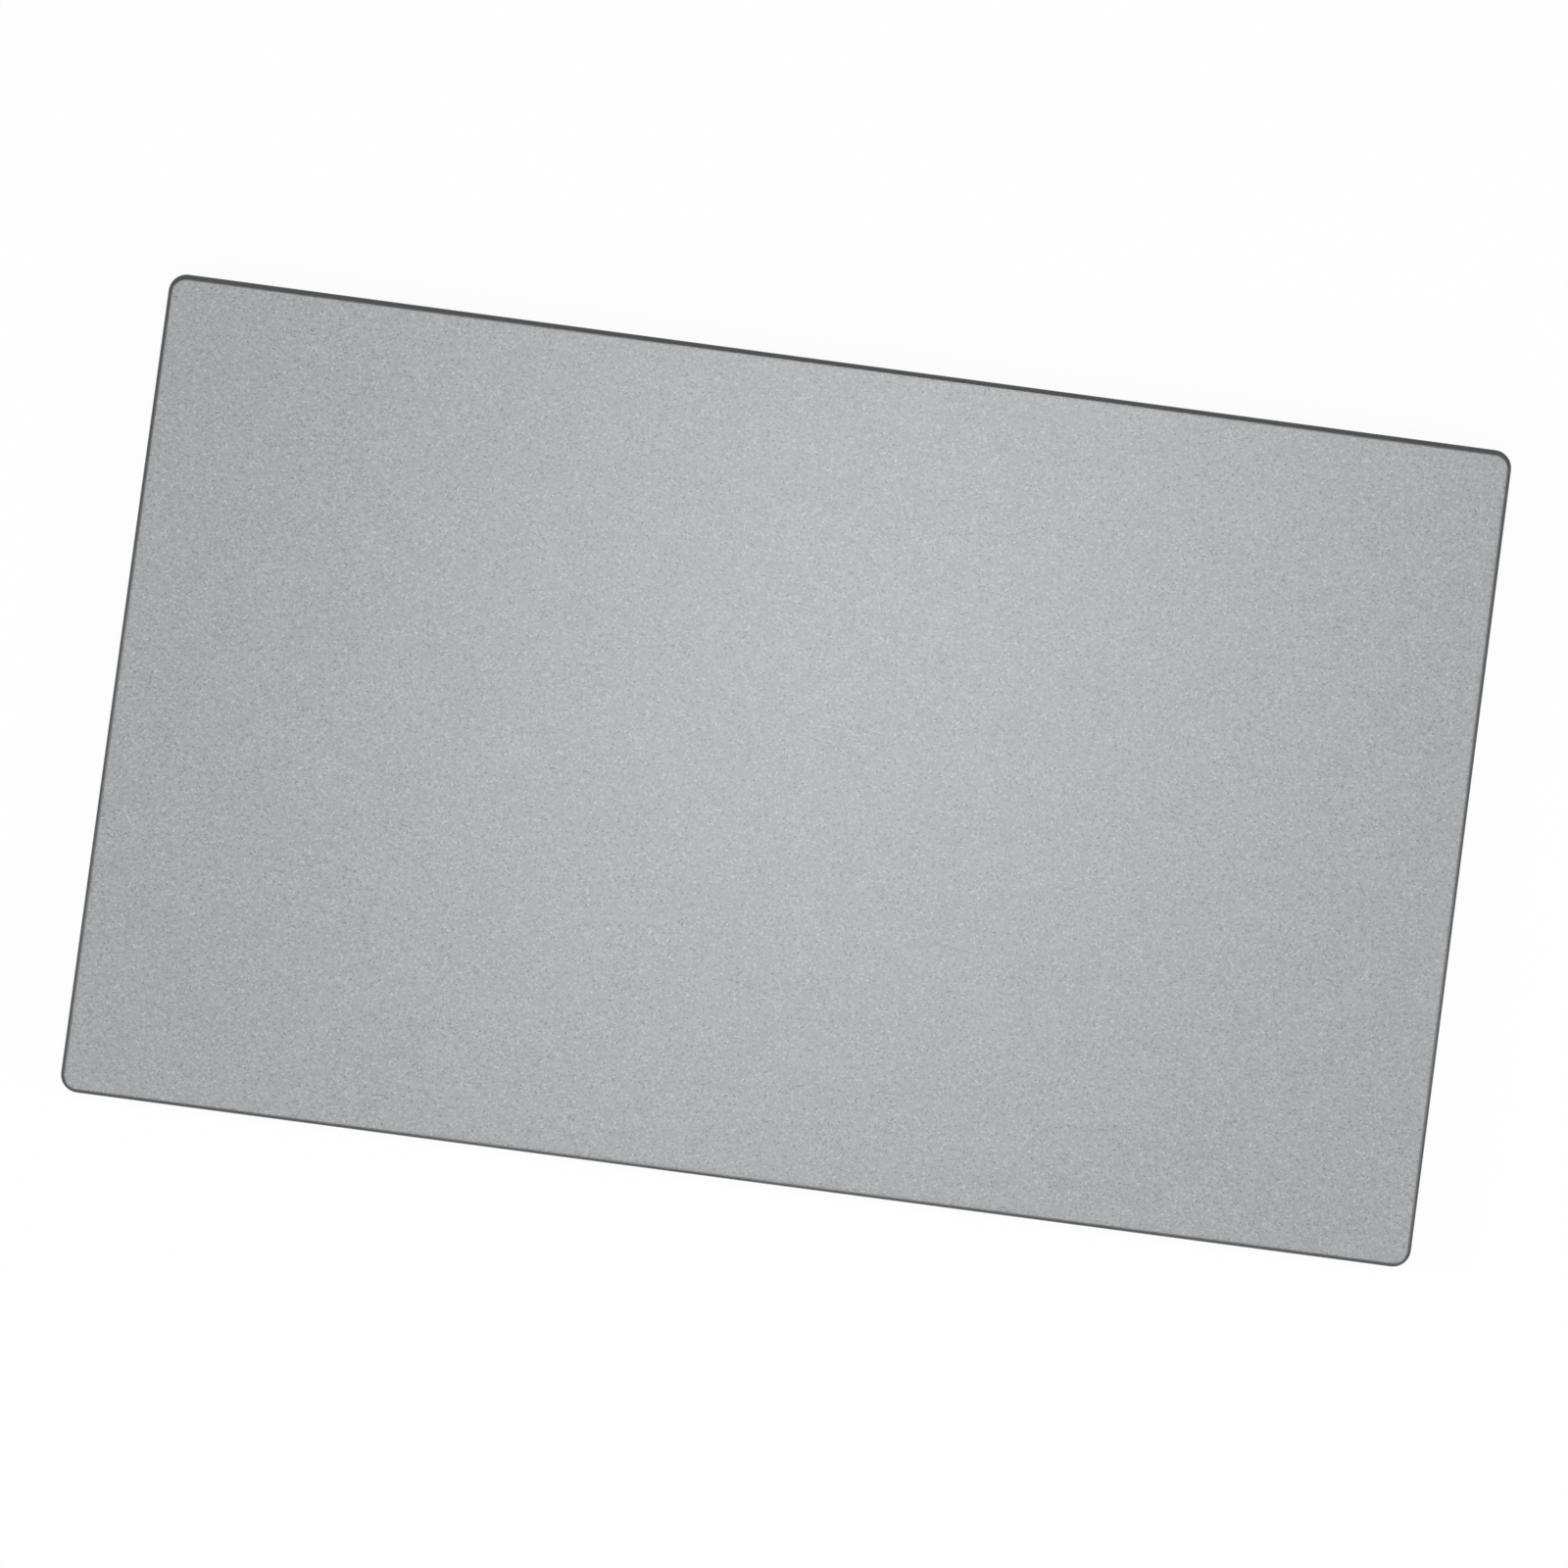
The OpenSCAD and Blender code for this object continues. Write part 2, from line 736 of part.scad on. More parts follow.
module front_right_bumper() {
  corner(1, -1) bumper();
}

module rear_left_bumper() {
  corner(-1, 1) bumper();
}

module rear_right_bumper() {
  corner(1, 1) bumper();
}

// Bosses under the board

module pad_bosses() {
  color(brass) four_corners() translate([tip_x, spring_y, boss_z]) difference() {
    union() {
      translate([0, 0, boss_h]) mirror([0, 0, 1]) rotate_extrude() rim_section(boss_r, boss_h, boss_edge);
      cylinder(r = spigot_r, h = boss_h + spigot_h);
    }
    translate([0, 0, -cut]) cylinder(r = screw_r + thread_clear, h = boss_grip + 2 * cut);
  }
}

module boss_screws() {
  color(screw_dark) four_corners() translate([tip_x, spring_y, spring_z])
    screw(screw_r, spring_t + boss_grip, head_r, head_h);
}

// Chips and small parts

// Side of a moulded block: w wide below, leaning in by the mould's draft
module mould_section(w, h) {
  polygon([[-w / 2, 0], [w / 2, 0], [w / 2 - mould_draft, h], [mould_draft - w / 2, h]]);
}

// Moulded block: two leaning sections crossed
module drafted(w, d, h) {
  intersection() {
    rotate([90, 0, 0]) linear_extrude(d, center = true) mould_section(w, h);
    rotate([90, 0, 90]) linear_extrude(w, center = true) mould_section(d, h);
  }
}

// Round dimple in the face of a moulded block, near one corner
module dimple(w, d) {
  translate([dimple_edge - w / 2, dimple_edge - d / 2, chip_h - dimple_depth])
    cylinder(r = dimple_r, h = dimple_depth + cut);
}

// Row of n terminals across the +Y side of a chip w long and d deep
module terminal_row(w, d, n) {
  for (i = [1 : n])
    translate([i * w / (n + 1) - w / 2 - terminal_w / 2, d / 2 - terminal_root, 0])
      cube([terminal_w, terminal_root + terminal_reach, terminal_t]);
}

// Moulded chip on its substrate, with a dimple at one corner and n terminals on two or four sides
module chip(w, d, n, four = true) {
  mould_w = w - 2 * mould_inset;
  mould_d = d - 2 * mould_inset;
  translate([-w / 2, -d / 2, 0]) cube([w, d, substrate_h]);
  difference() {
    drafted(mould_w, mould_d, chip_h);
    dimple(mould_w, mould_d);
  }
  for (turn = [0, 180]) rotate(turn) terminal_row(w, d, n);
  if (four) for (turn = [90, 270]) rotate(turn) terminal_row(d, w, n);
}

// Two-terminal part: a body between two end caps
module two_terminal(len, w, h) {
  cap = len / 5;
  step = h / 12;
  translate([-len / 2, -w / 2 + step, 0]) cube([len, w - 2 * step, h - step]);
  for (side = [0, 1]) mirror([side, 0, 0]) translate([len / 2 - cap, -w / 2, 0]) cube([cap, w, h]);
}

module touch_controller() {
  color(chip_black) under_board() translate([touch_x, chip_y, 0])
    chip(touch_side, touch_side, touch_terminals);
}

module system_controller() {
  color(chip_black) under_board() translate([system_x, chip_y, 0])
    chip(system_side, system_side, system_terminals);
}

module motor_driver() {
  color(chip_black) under_board() translate(driver_at) chip(driver_side, driver_side, driver_terminals);
}

module memory_chip() {
  color(chip_black) under_board() translate(memory_at) chip(memory_w, memory_d, memory_terminals, false);
}

// Section of one bent leg: out of the body at its parting line, down and onto the board
module leg_section() {
  top = parting + leg_t / 2;
  heel = leg_reach - leg_foot;
  polygon([
    [-leg_root, top], [leg_out + leg_skew, top], [heel + leg_skew, leg_t], [leg_reach, leg_t],
    [leg_reach, 0], [heel, 0], [leg_out, top - leg_t], [-leg_root, top - leg_t]
  ]);
}

module gauge_converter() {
  color(chip_black) under_board() translate(converter_at) {
    difference() {
      translate([0, 0, parting]) {
        drafted(converter_w, converter_d, chip_h - parting);
        mirror([0, 0, 1]) drafted(converter_w, converter_d, parting - leg_t / 2);
      }
      dimple(converter_w, converter_d);
    }
    for (side = [0, 1], i = [0 : leg_count - 1]) mirror([0, side, 0])
      translate([(i - (leg_count - 1) / 2) * leg_pitch - leg_w / 2, converter_d / 2, 0])
        rotate([90, 0, 90]) linear_extrude(leg_w) leg_section();
  }
}

module clock_crystal() {
  rim = 0.2;
  color(nickel) under_board() translate(crystal_at) {
    translate([-crystal_w / 2, -crystal_d / 2, 0]) cube([crystal_w, crystal_d, substrate_h]);
    linear_extrude(chip_h - substrate_h) rounded_rect(crystal_w - 2 * rim, crystal_d - 2 * rim, rim);
  }
}

module capacitor() {
  two_terminal(capacitor_len, capacitor_len / 2, capacitor_len / 2);
}

module board_capacitors() {
  beside = capacitor_gap + capacitor_len / 2;
  color(tan) under_board() {
    for (i = [-2 : 2]) translate([touch_x + i * capacitor_step, chip_y + touch_side / 2 + beside, 0])
      rotate(90) capacitor();
    for (i = [-1.5 : 1.5]) translate([touch_x - touch_side / 2 - beside, chip_y + i * capacitor_step, 0])
      capacitor();
    for (i = [-1 : 1])
      translate([driver_at[0] + i * capacitor_step, memory_at[1] + memory_d / 2 + beside, 0])
        rotate(90) capacitor();
  }
}

module resistor() {
  two_terminal(resistor_len, resistor_len / 2, resistor_len / 3);
}

module board_resistors() {
  beside = resistor_gap + resistor_len / 2;
  color(chip_black) under_board() {
    for (i = [-2.5 : 2.5])
      translate([system_x + i * resistor_step, chip_y + system_side / 2 + beside, 0])
        rotate(90) resistor();
    for (side = [-1, 1], i = [0 : 4])
      translate([side * (socket_w / 2 + column_gap), socket_y - column_back - i * column_step, 0])
        resistor();
  }
}

// Ribbon socket: y = 0 is the mouth, and the latch is at the back

module at_socket() {
  translate([0, socket_y, 0]) under_board() children();
}

// Children repeated at the middle of each contact
module each_contact() {
  for (i = [0 : contact_count - 1])
    translate([(i - (contact_count - 1) / 2) * contact_pitch, 0, 0]) children();
}

// Chamfers at the mouth: one over the slot and one under it
module mouth_section() {
  roof = socket_h - roof_t;
  polygon([[-lead_in, roof], [cut, roof - cut], [cut, roof + lead_in], [0, roof + lead_in]]);
  polygon([[-lead_in, floor_t], [0, floor_t - lead_in], [cut, floor_t - lead_in], [cut, floor_t + cut]]);
}

module socket_housing() {
  color(ivory) at_socket() difference() {
    union() {
      translate([-socket_w / 2, -floor_d, 0]) cube([socket_w, floor_d, floor_t]);
      translate([-socket_w / 2, -roof_d, socket_h - roof_t]) cube([socket_w, roof_d, roof_t]);
      for (side = [0, 1]) mirror([side, 0, 0])
        translate([slot_w / 2, -cheek_d, 0]) cube([cheek_t, cheek_d, socket_h]);
    }
    translate([-socket_w / 2 - cut, -pivot_y, pivot_h]) rotate([0, 90, 0])
      cylinder(r = pin_r + pin_clear, h = socket_w + 2 * cut);
    translate([-slot_w / 2, 0, 0]) rotate([90, 0, 90]) linear_extrude(slot_w) mouth_section();
  }
}

// Section of one contact: along the floor, down its back and out onto the board
module contact_section() {
  polygon([
    [-mouth_back, floor_t], [-mouth_back, floor_t + contact_t], [-floor_d - contact_t, floor_t + contact_t],
    [-floor_d - contact_t, contact_t], [-floor_d - contact_foot, contact_t],
    [-floor_d - contact_foot, 0], [-floor_d, 0], [-floor_d, floor_t]
  ]);
}

module socket_contacts() {
  color(gold) at_socket() each_contact() translate([-contact_w / 2, 0, 0])
    rotate([90, 0, 90]) linear_extrude(contact_w) contact_section();
}

module socket_anchors() {
  color(nickel) at_socket() for (side = [0, 1]) mirror([side, 0, 0])
    translate([socket_w / 2, -mouth_back, 0]) rotate([90, 0, 0]) linear_extrude(anchor_len) {
      square([anchor_t, anchor_h]);
      square([anchor_foot, anchor_t]);
    }
}

// Section of the latch: a strip with a round pivot edge and a round finger edge
module latch_section() {
  translate([-latch_len, -latch_t / 2]) square([latch_len, latch_t]);
  for (edge = [0, -latch_len]) translate([edge, 0]) circle(latch_t / 2);
}

// The latch is slotted over the contacts, and its pivot rod runs through the slots into the cheeks
module socket_latch() {
  latch_w = slot_w - 2 * latch_gap;
  comb_w = contact_w + 2 * comb_clear;
  color(chip_black) at_socket() translate([0, -pivot_y, pivot_h]) {
    difference() {
      translate([-latch_w / 2, 0, 0]) rotate([90, 0, 90]) linear_extrude(latch_w) latch_section();
      each_contact() translate([-comb_w / 2, latch_t / 2 - comb_d, -latch_t / 2 - cut])
        cube([comb_w, comb_d + cut, latch_t + 2 * cut]);
    }
    translate([-slot_w / 2 - pin_len, 0, 0]) rotate([0, 90, 0])
      cylinder(r = pin_r, h = slot_w + 2 * pin_len);
  }
}

// Haptic motor

module motor_pad() {
  color(foam) under_board() linear_extrude(pad_t)
    rounded_rect(motor_w - 2 * pad_inset, motor_d - 2 * pad_inset, can_r);
}

module motor_nuts() {
  color(brass) under_board() four_corners() translate([ear_x, ear_y, 0]) difference() {
    union() {
      cylinder(r = nut_r, h = pad_t);
      translate([0, 0, -spigot_h]) cylinder(r = nut_spigot_r, h = spigot_h + pad_t);
    }
    translate([0, 0, -spigot_h - cut])
      cylinder(r = motor_screw_r + thread_clear, h = spigot_h + pad_t + 2 * cut);
  }
}

module plate_outline() {
  rounded_rect(motor_w, motor_d, can_r);
  for (side = [0, 1], end = [0, 1]) mirror([side, 0]) mirror([0, end]) {
    translate([ear_x, ear_y]) circle(ear_r);
    translate([motor_w / 2 - can_r, ear_y - ear_r]) square([ear_reach + can_r, 2 * ear_r]);
  }
}

module motor_plate() {
  color(steel) under_board() translate([0, 0, plate_h]) difference() {
    linear_extrude(plate_t) plate_outline();
    four_corners() translate([ear_x, ear_y, -cut])
      cylinder(r = motor_screw_r + hole_clear, h = plate_t + 2 * cut);
  }
}

module motor_can() {
  notch_w = lead_w + 2 * notch_clear;
  color(steel) under_board() translate([0, 0, can_top]) difference() {
    soft_plate(motor_w, motor_d, can_h, can_r, can_edge);
    translate([0, 0, -cut]) linear_extrude(can_h - can_t + cut)
      rounded_rect(can_in_w, can_in_d, can_in_r);
    translate([-notch_w / 2, -motor_d / 2 - cut, -cut])
      cube([notch_w, can_t + 2 * cut, lead_t + motor_gap + cut]);
  }
}

module motor_screws() {
  color(screw_dark) under_board() four_corners() translate([ear_x, ear_y, can_top])
    mirror([0, 0, 1]) screw(motor_screw_r, plate_t + pad_t + motor_grip, motor_head_r, motor_head_h);
}

module motor_coil() {
  color(copper) under_board() translate([0, 0, can_top + lead_t]) linear_extrude(coil_t) difference() {
    rounded_rect(coil_w, coil_d, coil_band + coil_in_r);
    rounded_rect(coil_w - 2 * coil_band, coil_d - 2 * coil_band, coil_in_r);
  }
}

// Section of the motor's lead: flat on the plate, an S of two arcs, flat on the board
module lead_section() {
  back = coil_d / 2;
  out = -motor_d / 2 - notch_clear;
  up = out - lead_slope;
  turn = 2 * atan(can_top / lead_slope);
  inner = lead_slope / (2 * sin(turn)) - lead_t / 2;
  outer = inner + lead_t;
  translate([out, can_top]) square([back - out, lead_t]);
  translate([out, can_top + lead_t - outer]) ring_part(inner, outer, 90, turn);
  translate([up, outer]) ring_part(inner, outer, 270, turn);
  translate([up - lead_land, 0]) square([lead_land, lead_t]);
}

// The lead lies on the plate under the coil, leaves by the notch and climbs to the board
module motor_flex() {
  color(amber) under_board() translate([-lead_w / 2, 0, 0]) rotate([90, 0, 90])
    linear_extrude(lead_w) lead_section();
}

// Plan of a folded spring between the right end of the weight and the can
module fold_outline() {
  bend = fold_span / 2;
  leg = fold_bend_y - fold_start_y;
  translate([weight_w / 2 + bend, fold_bend_y]) difference() {
    arch(bend, leg);
    arch(bend - fold_t, leg + cut);
  }
}

module mass_spring() {
  color(spring_steel) under_board() translate([0, 0, weight_top + fold_clear])
    linear_extrude(fold_h) fold_outline();
}

module left_mass_spring() {
  rotate(180) mass_spring();
}

module right_mass_spring() {
  mass_spring();
}

// Weight with a window for the coil, relieved at its ends so that the springs can bend
module motor_weight() {
  relief_len = weight_d - foot_len;
  color(tungsten) under_board() translate([0, 0, weight_top]) linear_extrude(weight_t) difference() {
    rounded_rect(weight_w, weight_d, weight_r);
    rounded_rect(window_w, window_d, can_r);
    for (turn = [0, 180]) rotate(turn)
      translate([weight_w / 2 - weight_relief, weight_d / 2 - relief_len])
        square([weight_relief + cut, relief_len + cut]);
  }
}

module weight_magnets() {
  color(nickel) under_board() for (side = [-1, 1])
    translate([side * window_w / 4, 0, weight_low - magnet_t]) linear_extrude(magnet_t)
      square([magnet_w, magnet_d], center = true);
}

module magnet_yoke() {
  color(steel) under_board() translate([0, 0, weight_low]) linear_extrude(yoke_t)
    rounded_rect(weight_w, weight_d, can_r);
}

glass_plate();
bonding_sheet();
sensor_board();
left_rail();
right_rail();
mount_posts();
front_left_spring();
front_right_spring();
rear_left_spring();
rear_right_spring();
spring_screws();
front_left_gauge();
front_right_gauge();
rear_left_gauge();
rear_right_gauge();
front_left_bumper();
front_right_bumper();
rear_left_bumper();
rear_right_bumper();
pad_bosses();
boss_screws();
touch_controller();
system_controller();
motor_driver();
gauge_converter();
memory_chip();
clock_crystal();
board_capacitors();
board_resistors();
socket_housing();
socket_contacts();
socket_anchors();
socket_latch();
motor_pad();
motor_nuts();
motor_plate();
motor_can();
motor_screws();
motor_coil();
motor_flex();
left_mass_spring();
right_mass_spring();
motor_weight();
weight_magnets();
magnet_yoke();
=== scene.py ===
# %% [markdown]
# # A force sensing trackpad
# From above this is one sheet of grey, finely etched glass with a polished edge. Underneath it is a
# machine: a circuit board on four leaf springs, strain gauges that feel a press, and a haptic motor
# that answers it. The packed solids give every size and place. This script gives them their finish.

# %% Load the frame
import math

import bpy
import numpy as np
from mathutils import Euler, Matrix, Vector
from mathutils.geometry import delaunay_2d_cdt


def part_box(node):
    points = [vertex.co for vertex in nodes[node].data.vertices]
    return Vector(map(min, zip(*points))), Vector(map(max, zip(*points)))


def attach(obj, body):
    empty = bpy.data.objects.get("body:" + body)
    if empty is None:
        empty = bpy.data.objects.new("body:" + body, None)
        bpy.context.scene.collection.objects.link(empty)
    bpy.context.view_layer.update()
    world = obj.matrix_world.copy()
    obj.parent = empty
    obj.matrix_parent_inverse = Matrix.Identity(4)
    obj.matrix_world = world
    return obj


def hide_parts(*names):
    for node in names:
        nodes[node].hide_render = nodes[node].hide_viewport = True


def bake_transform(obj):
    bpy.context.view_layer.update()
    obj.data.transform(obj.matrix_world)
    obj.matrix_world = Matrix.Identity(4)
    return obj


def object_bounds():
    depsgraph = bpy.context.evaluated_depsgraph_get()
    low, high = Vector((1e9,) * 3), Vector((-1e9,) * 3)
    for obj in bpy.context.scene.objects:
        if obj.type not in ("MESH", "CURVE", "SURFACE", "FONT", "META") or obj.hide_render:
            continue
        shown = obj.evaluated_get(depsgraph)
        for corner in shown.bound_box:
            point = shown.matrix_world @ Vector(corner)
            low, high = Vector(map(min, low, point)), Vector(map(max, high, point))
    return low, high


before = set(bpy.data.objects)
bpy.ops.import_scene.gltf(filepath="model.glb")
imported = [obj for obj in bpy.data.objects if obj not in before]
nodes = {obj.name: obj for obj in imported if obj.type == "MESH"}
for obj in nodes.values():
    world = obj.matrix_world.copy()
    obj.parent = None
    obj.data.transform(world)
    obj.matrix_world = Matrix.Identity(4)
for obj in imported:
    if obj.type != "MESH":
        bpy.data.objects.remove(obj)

MM = 0.001
cad_low, cad_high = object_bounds()


def add_object(name, data):
    """A new object in the scene."""
    made = bpy.data.objects.new(name, data)
    bpy.context.scene.collection.objects.link(made)
    return made


print("solids:", len(nodes), "box in mm:", [round(side / MM, 2) for side in cad_high - cad_low])

# %% [markdown]
# ## Camera
# The photograph looks almost straight down from about half a metre, with the pad turned a little
# clockwise. The four edges of the glass in the photograph were fitted to a plate of this proportion,
# which gives the turn and the distance below. They take a point on the glass into the camera's own
# axes, so the camera's place in the world is the inverse of that step.

# %% Camera
IMAGE_SIDE = 1600
FOCAL_PIXELS = 5000
SENSOR = 36
CLIP_START = 10 * MM
GLASS_TURN = (-1.867, 0.626, -7.591)
GLASS_PLACE = (0.51, 1.40, -482.9)
glass_low, glass_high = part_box("glass_plate")


def to_camera():
    """Matrix from the world to the camera: the glass top moves to z = 0, turns, then moves away."""
    turn = Euler([math.radians(angle) for angle in GLASS_TURN]).to_matrix().to_4x4()
    drop = Matrix.Translation((0, 0, -glass_high.z))
    return Matrix.Translation([length * MM for length in GLASS_PLACE]) @ turn @ drop


camera_data = bpy.data.cameras.new("camera")
camera_data.sensor_width = SENSOR
camera_data.lens = FOCAL_PIXELS * SENSOR / IMAGE_SIDE
camera_data.clip_start = CLIP_START
camera = add_object("camera", camera_data)
camera.matrix_world = to_camera().inverted()
bpy.context.scene.camera = camera

corner = to_camera() @ Vector((glass_low.x, glass_high.y, glass_high.z))
across, down = (FOCAL_PIXELS * axis / -corner.z for axis in (corner.x, -corner.y))
print("rear left corner at pixel", round(IMAGE_SIDE / 2 + across), round(IMAGE_SIDE / 2 + down))

# %% [markdown]
# ## Shader expressions
# A finish is easier to read as a sum than as a chain of boxes. `Value` wraps one socket, and each
# operator adds the Math node that it stands for, so `1 - mask` works as it looks. `Tree` is any set of
# nodes, and its `node` method adds any other one: its type, its settings, then its sockets. `Finish`
# is the tree of one material, and its `skin` method lays on the colour, the roughness and the relief.

# %% Values


def operators(operation):
    """Two methods for one operator: a Math node with its terms in order, and one with them swapped."""
    return (
        lambda self, other: self.tree.math(operation, self, other),
        lambda self, other: self.tree.math(operation, other, self),
    )


class Value:
    """A number that changes over the surface. Operators add Math nodes."""

    __add__, __radd__ = operators("ADD")
    __sub__, __rsub__ = operators("SUBTRACT")
    __mul__, __rmul__ = operators("MULTIPLY")
    __truediv__, __rtruediv__ = operators("DIVIDE")
    __pow__, __rpow__ = operators("POWER")
    __mod__, __rmod__ = operators("FLOORED_MODULO")
    __lt__, __gt__ = operators("LESS_THAN")

    def __init__(self, tree, socket):
        self.tree = tree
        self.socket = socket

    def __abs__(self):
        return self.tree.math("ABSOLUTE", self)


print("reflected operators:", [name for name in vars(Value) if name.startswith("__r")])

# %% Trees


class Tree:
    """A set of shader nodes. Lengths in it are millimetres."""

    def __init__(self, tree):
        self.tree = tree

    def node(self, kind, settings=None, sockets=None):
        """Add a node of any type: first its settings, then the values or links of its sockets."""
        made = self.tree.nodes.new(kind)
        for name, value in (settings or {}).items():
            setattr(made, name, value)
        for name, value in (sockets or {}).items():
            self.plug(made.inputs[name], value)
        return made

    def out(self, kind, sockets=None, output=0):
        """One output of a new node that needs no settings."""
        return self.node(kind, None, sockets).outputs[output]

    def plug(self, target, value):
        """Link a Value or a socket to the target, or set a plain number on it."""
        source = value.socket if isinstance(value, Value) else value
        if isinstance(source, bpy.types.NodeSocket):
            self.tree.links.new(source, target)
        else:
            target.default_value = source

    def math(self, operation, *terms):
        """The result of one Math node."""
        made = self.node("ShaderNodeMath", {"operation": operation}, dict(enumerate(terms)))
        return Value(self, made.outputs[0])


print("a tree can:", [name for name in vars(Tree) if not name.startswith("_")])

# %% Finishes
EVEN = (1, 1, 1)
BEVEL_SAMPLES = 4


class Finish(Tree):
    """One procedural material round a Principled shader."""

    def __init__(self, name, constants):
        self.material = bpy.data.materials.new(name)
        self.material.use_nodes = True
        super().__init__(self.material.node_tree)
        self.shader = self.tree.nodes["Principled BSDF"]
        for socket, value in constants.items():
            self.shader.inputs[socket].default_value = value

    def feed(self, socket, value):
        """Let a value or colour that changes over the surface drive one input of the shader."""
        self.plug(self.shader.inputs[socket], value)

    def place(self, stretch=EVEN):
        """Object coordinates in millimetres, each axis times its stretch."""
        source = self.out("ShaderNodeTexCoord", None, "Object")
        return self.out("ShaderNodeMapping", {"Vector": source, "Scale": [axis / MM for axis in stretch]})

    def axes(self):
        """The three Object coordinates in millimetres, as Values."""
        split = self.node("ShaderNodeSeparateXYZ", None, {0: self.place()})
        return [Value(self, output) for output in split.outputs]

    def noise(self, size, detail=3, stretch=EVEN):
        """Soft noise from 0 to 1 whose patches are about `size` millimetres across."""
        sockets = {"Vector": self.place(stretch), "Scale": 1 / size, "Detail": detail}
        return Value(self, self.out("ShaderNodeTexNoise", sockets))

    def cells(self, size, distance="EUCLIDEAN", randomness=1.0):
        """A random number from 0 to 1 for each cell, about `size` millimetres across."""
        sockets = {"Vector": self.place(), "Scale": 1 / size, "Randomness": randomness}
        colour = self.node("ShaderNodeTexVoronoi", {"distance": distance}, sockets).outputs["Color"]
        return Value(self, self.out("ShaderNodeSeparateColor", {0: colour}))

    def attribute(self, name):
        """A number that the mesh itself carries at its points."""
        return Value(self, self.node("ShaderNodeAttribute", {"attribute_name": name}).outputs["Fac"])

    def ease(self, value, low, high):
        """0 below low, 1 above high, and a smooth step between."""
        sockets = {"Value": value, "From Min": low, "From Max": high}
        made = self.node("ShaderNodeMapRange", {"interpolation_type": "SMOOTHSTEP"}, sockets)
        return Value(self, made.outputs[0])

    def mix(self, factor, *colours):
        """A colour between two colours, each a socket or red, green and blue."""
        first, second = (c if isinstance(c, bpy.types.NodeSocket) else (*c, 1) for c in colours)
        sockets = {0: factor, 6: first, 7: second}
        return self.node("ShaderNodeMix", {"data_type": "RGBA"}, sockets).outputs[2]

    def skin(self, colour, rough, height=None, depth=0.0, edge=0.0):
        """Colour, roughness and, if there is one, relief: `height` from 0 to 1 tilts the surface as
        `depth` millimetres would, and sharp edges are worn round by `edge` millimetres."""
        self.feed("Base Color", colour)
        self.feed("Roughness", rough)
        if height is not None:
            sockets = {"Height": height, "Distance": depth * MM}
            if edge:
                worn = self.node("ShaderNodeBevel", {"samples": BEVEL_SAMPLES}, {"Radius": edge * MM})
                sockets["Normal"] = worn.outputs[0]
            self.feed("Normal", self.out("ShaderNodeBump", sockets))
        print("finish", self.material.name, "of", len(self.tree.nodes), "nodes")
        return self

    def wear(self, *pieces):
        """Give this finish to the pieces, in place of what they had."""
        for piece in pieces:
            piece.data.materials.clear()
            piece.data.materials.append(self.material)


def from_line(value, pitch):
    """Distance from the nearest of the lines that lie half a pitch past each whole pitch."""
    return abs(value % pitch - pitch / 2)


def shades(tone, *shares):
    """A tone times each share, as darker and lighter colours."""
    return [[share * channel for channel in tone] for share in shares]


print("a finish can also:", [name for name in vars(Finish) if not name.startswith("_")])

# %% [markdown]
# ## Studio
# The photograph is on plain white with soft light. Tall softboxes stand in a half ring from the left,
# round the front, to the right, and nothing bright stands behind the pad. That, with a band of painted
# shade along the glass's far rim, is why its far edge is the darkest line in the picture. One smaller
# lamp overhead gives the satin glow in the middle of the glass. The floor is white to the eye but
# keeps a faint shadow, and it is clear from below, so that the underside can be looked at.

# %% Lamps
RING_REACH = 0.9
RING_HEIGHT = 0.95
STRIP = (0.2, 1.4)
RING_POWERS = {-90: 2.55, -45: 2.8, 0: 3.8, 45: 3.2, 90: 3.0}
OVERHEAD_PLACE = (0.025, 0.085, 0.9)
OVERHEAD_SIZE = (0.14, 0.26)
OVERHEAD_POWER = 2.25
LOW_PLACE = (-0.45, -0.5, -0.8)
LOW_SIZE = (0.4, 0.4)
LOW_POWER = 3.0


def softbox(name, place, size, power):
    """A rectangular soft lamp at a place in metres, aimed at the middle of the pad."""
    light = bpy.data.lights.new(name, "AREA")
    light.shape = "RECTANGLE"
    light.size, light.size_y = size
    light.energy = power
    lamp = add_object(name, light)
    lamp.location = place
    lamp.rotation_euler = (-Vector(place)).to_track_quat("-Z", "Y").to_euler()
    lamp.visible_camera = False


for azimuth, power in RING_POWERS.items():
    across, ahead = math.sin(math.radians(azimuth)), -math.cos(math.radians(azimuth))
    softbox("softbox", (RING_REACH * across, RING_REACH * ahead, RING_HEIGHT), STRIP, power)
softbox("overhead_lamp", OVERHEAD_PLACE, OVERHEAD_SIZE, OVERHEAD_POWER)
softbox("low_lamp", LOW_PLACE, LOW_SIZE, LOW_POWER)

# %% World
WHITE = (1, 1, 1, 1)
WORLD_UP = 0.12
WORLD_DOWN = 0.4
HORIZON = 0.2


def shown(tree):
    """1 for rays that picture the backdrop: from the camera, a gloss or a clear piece."""
    path = tree.node("ShaderNodeLightPath").outputs
    seen = tree.math("MAXIMUM", path["Is Camera Ray"], path["Is Glossy Ray"])
    return tree.math("MAXIMUM", seen, path["Is Transmission Ray"])


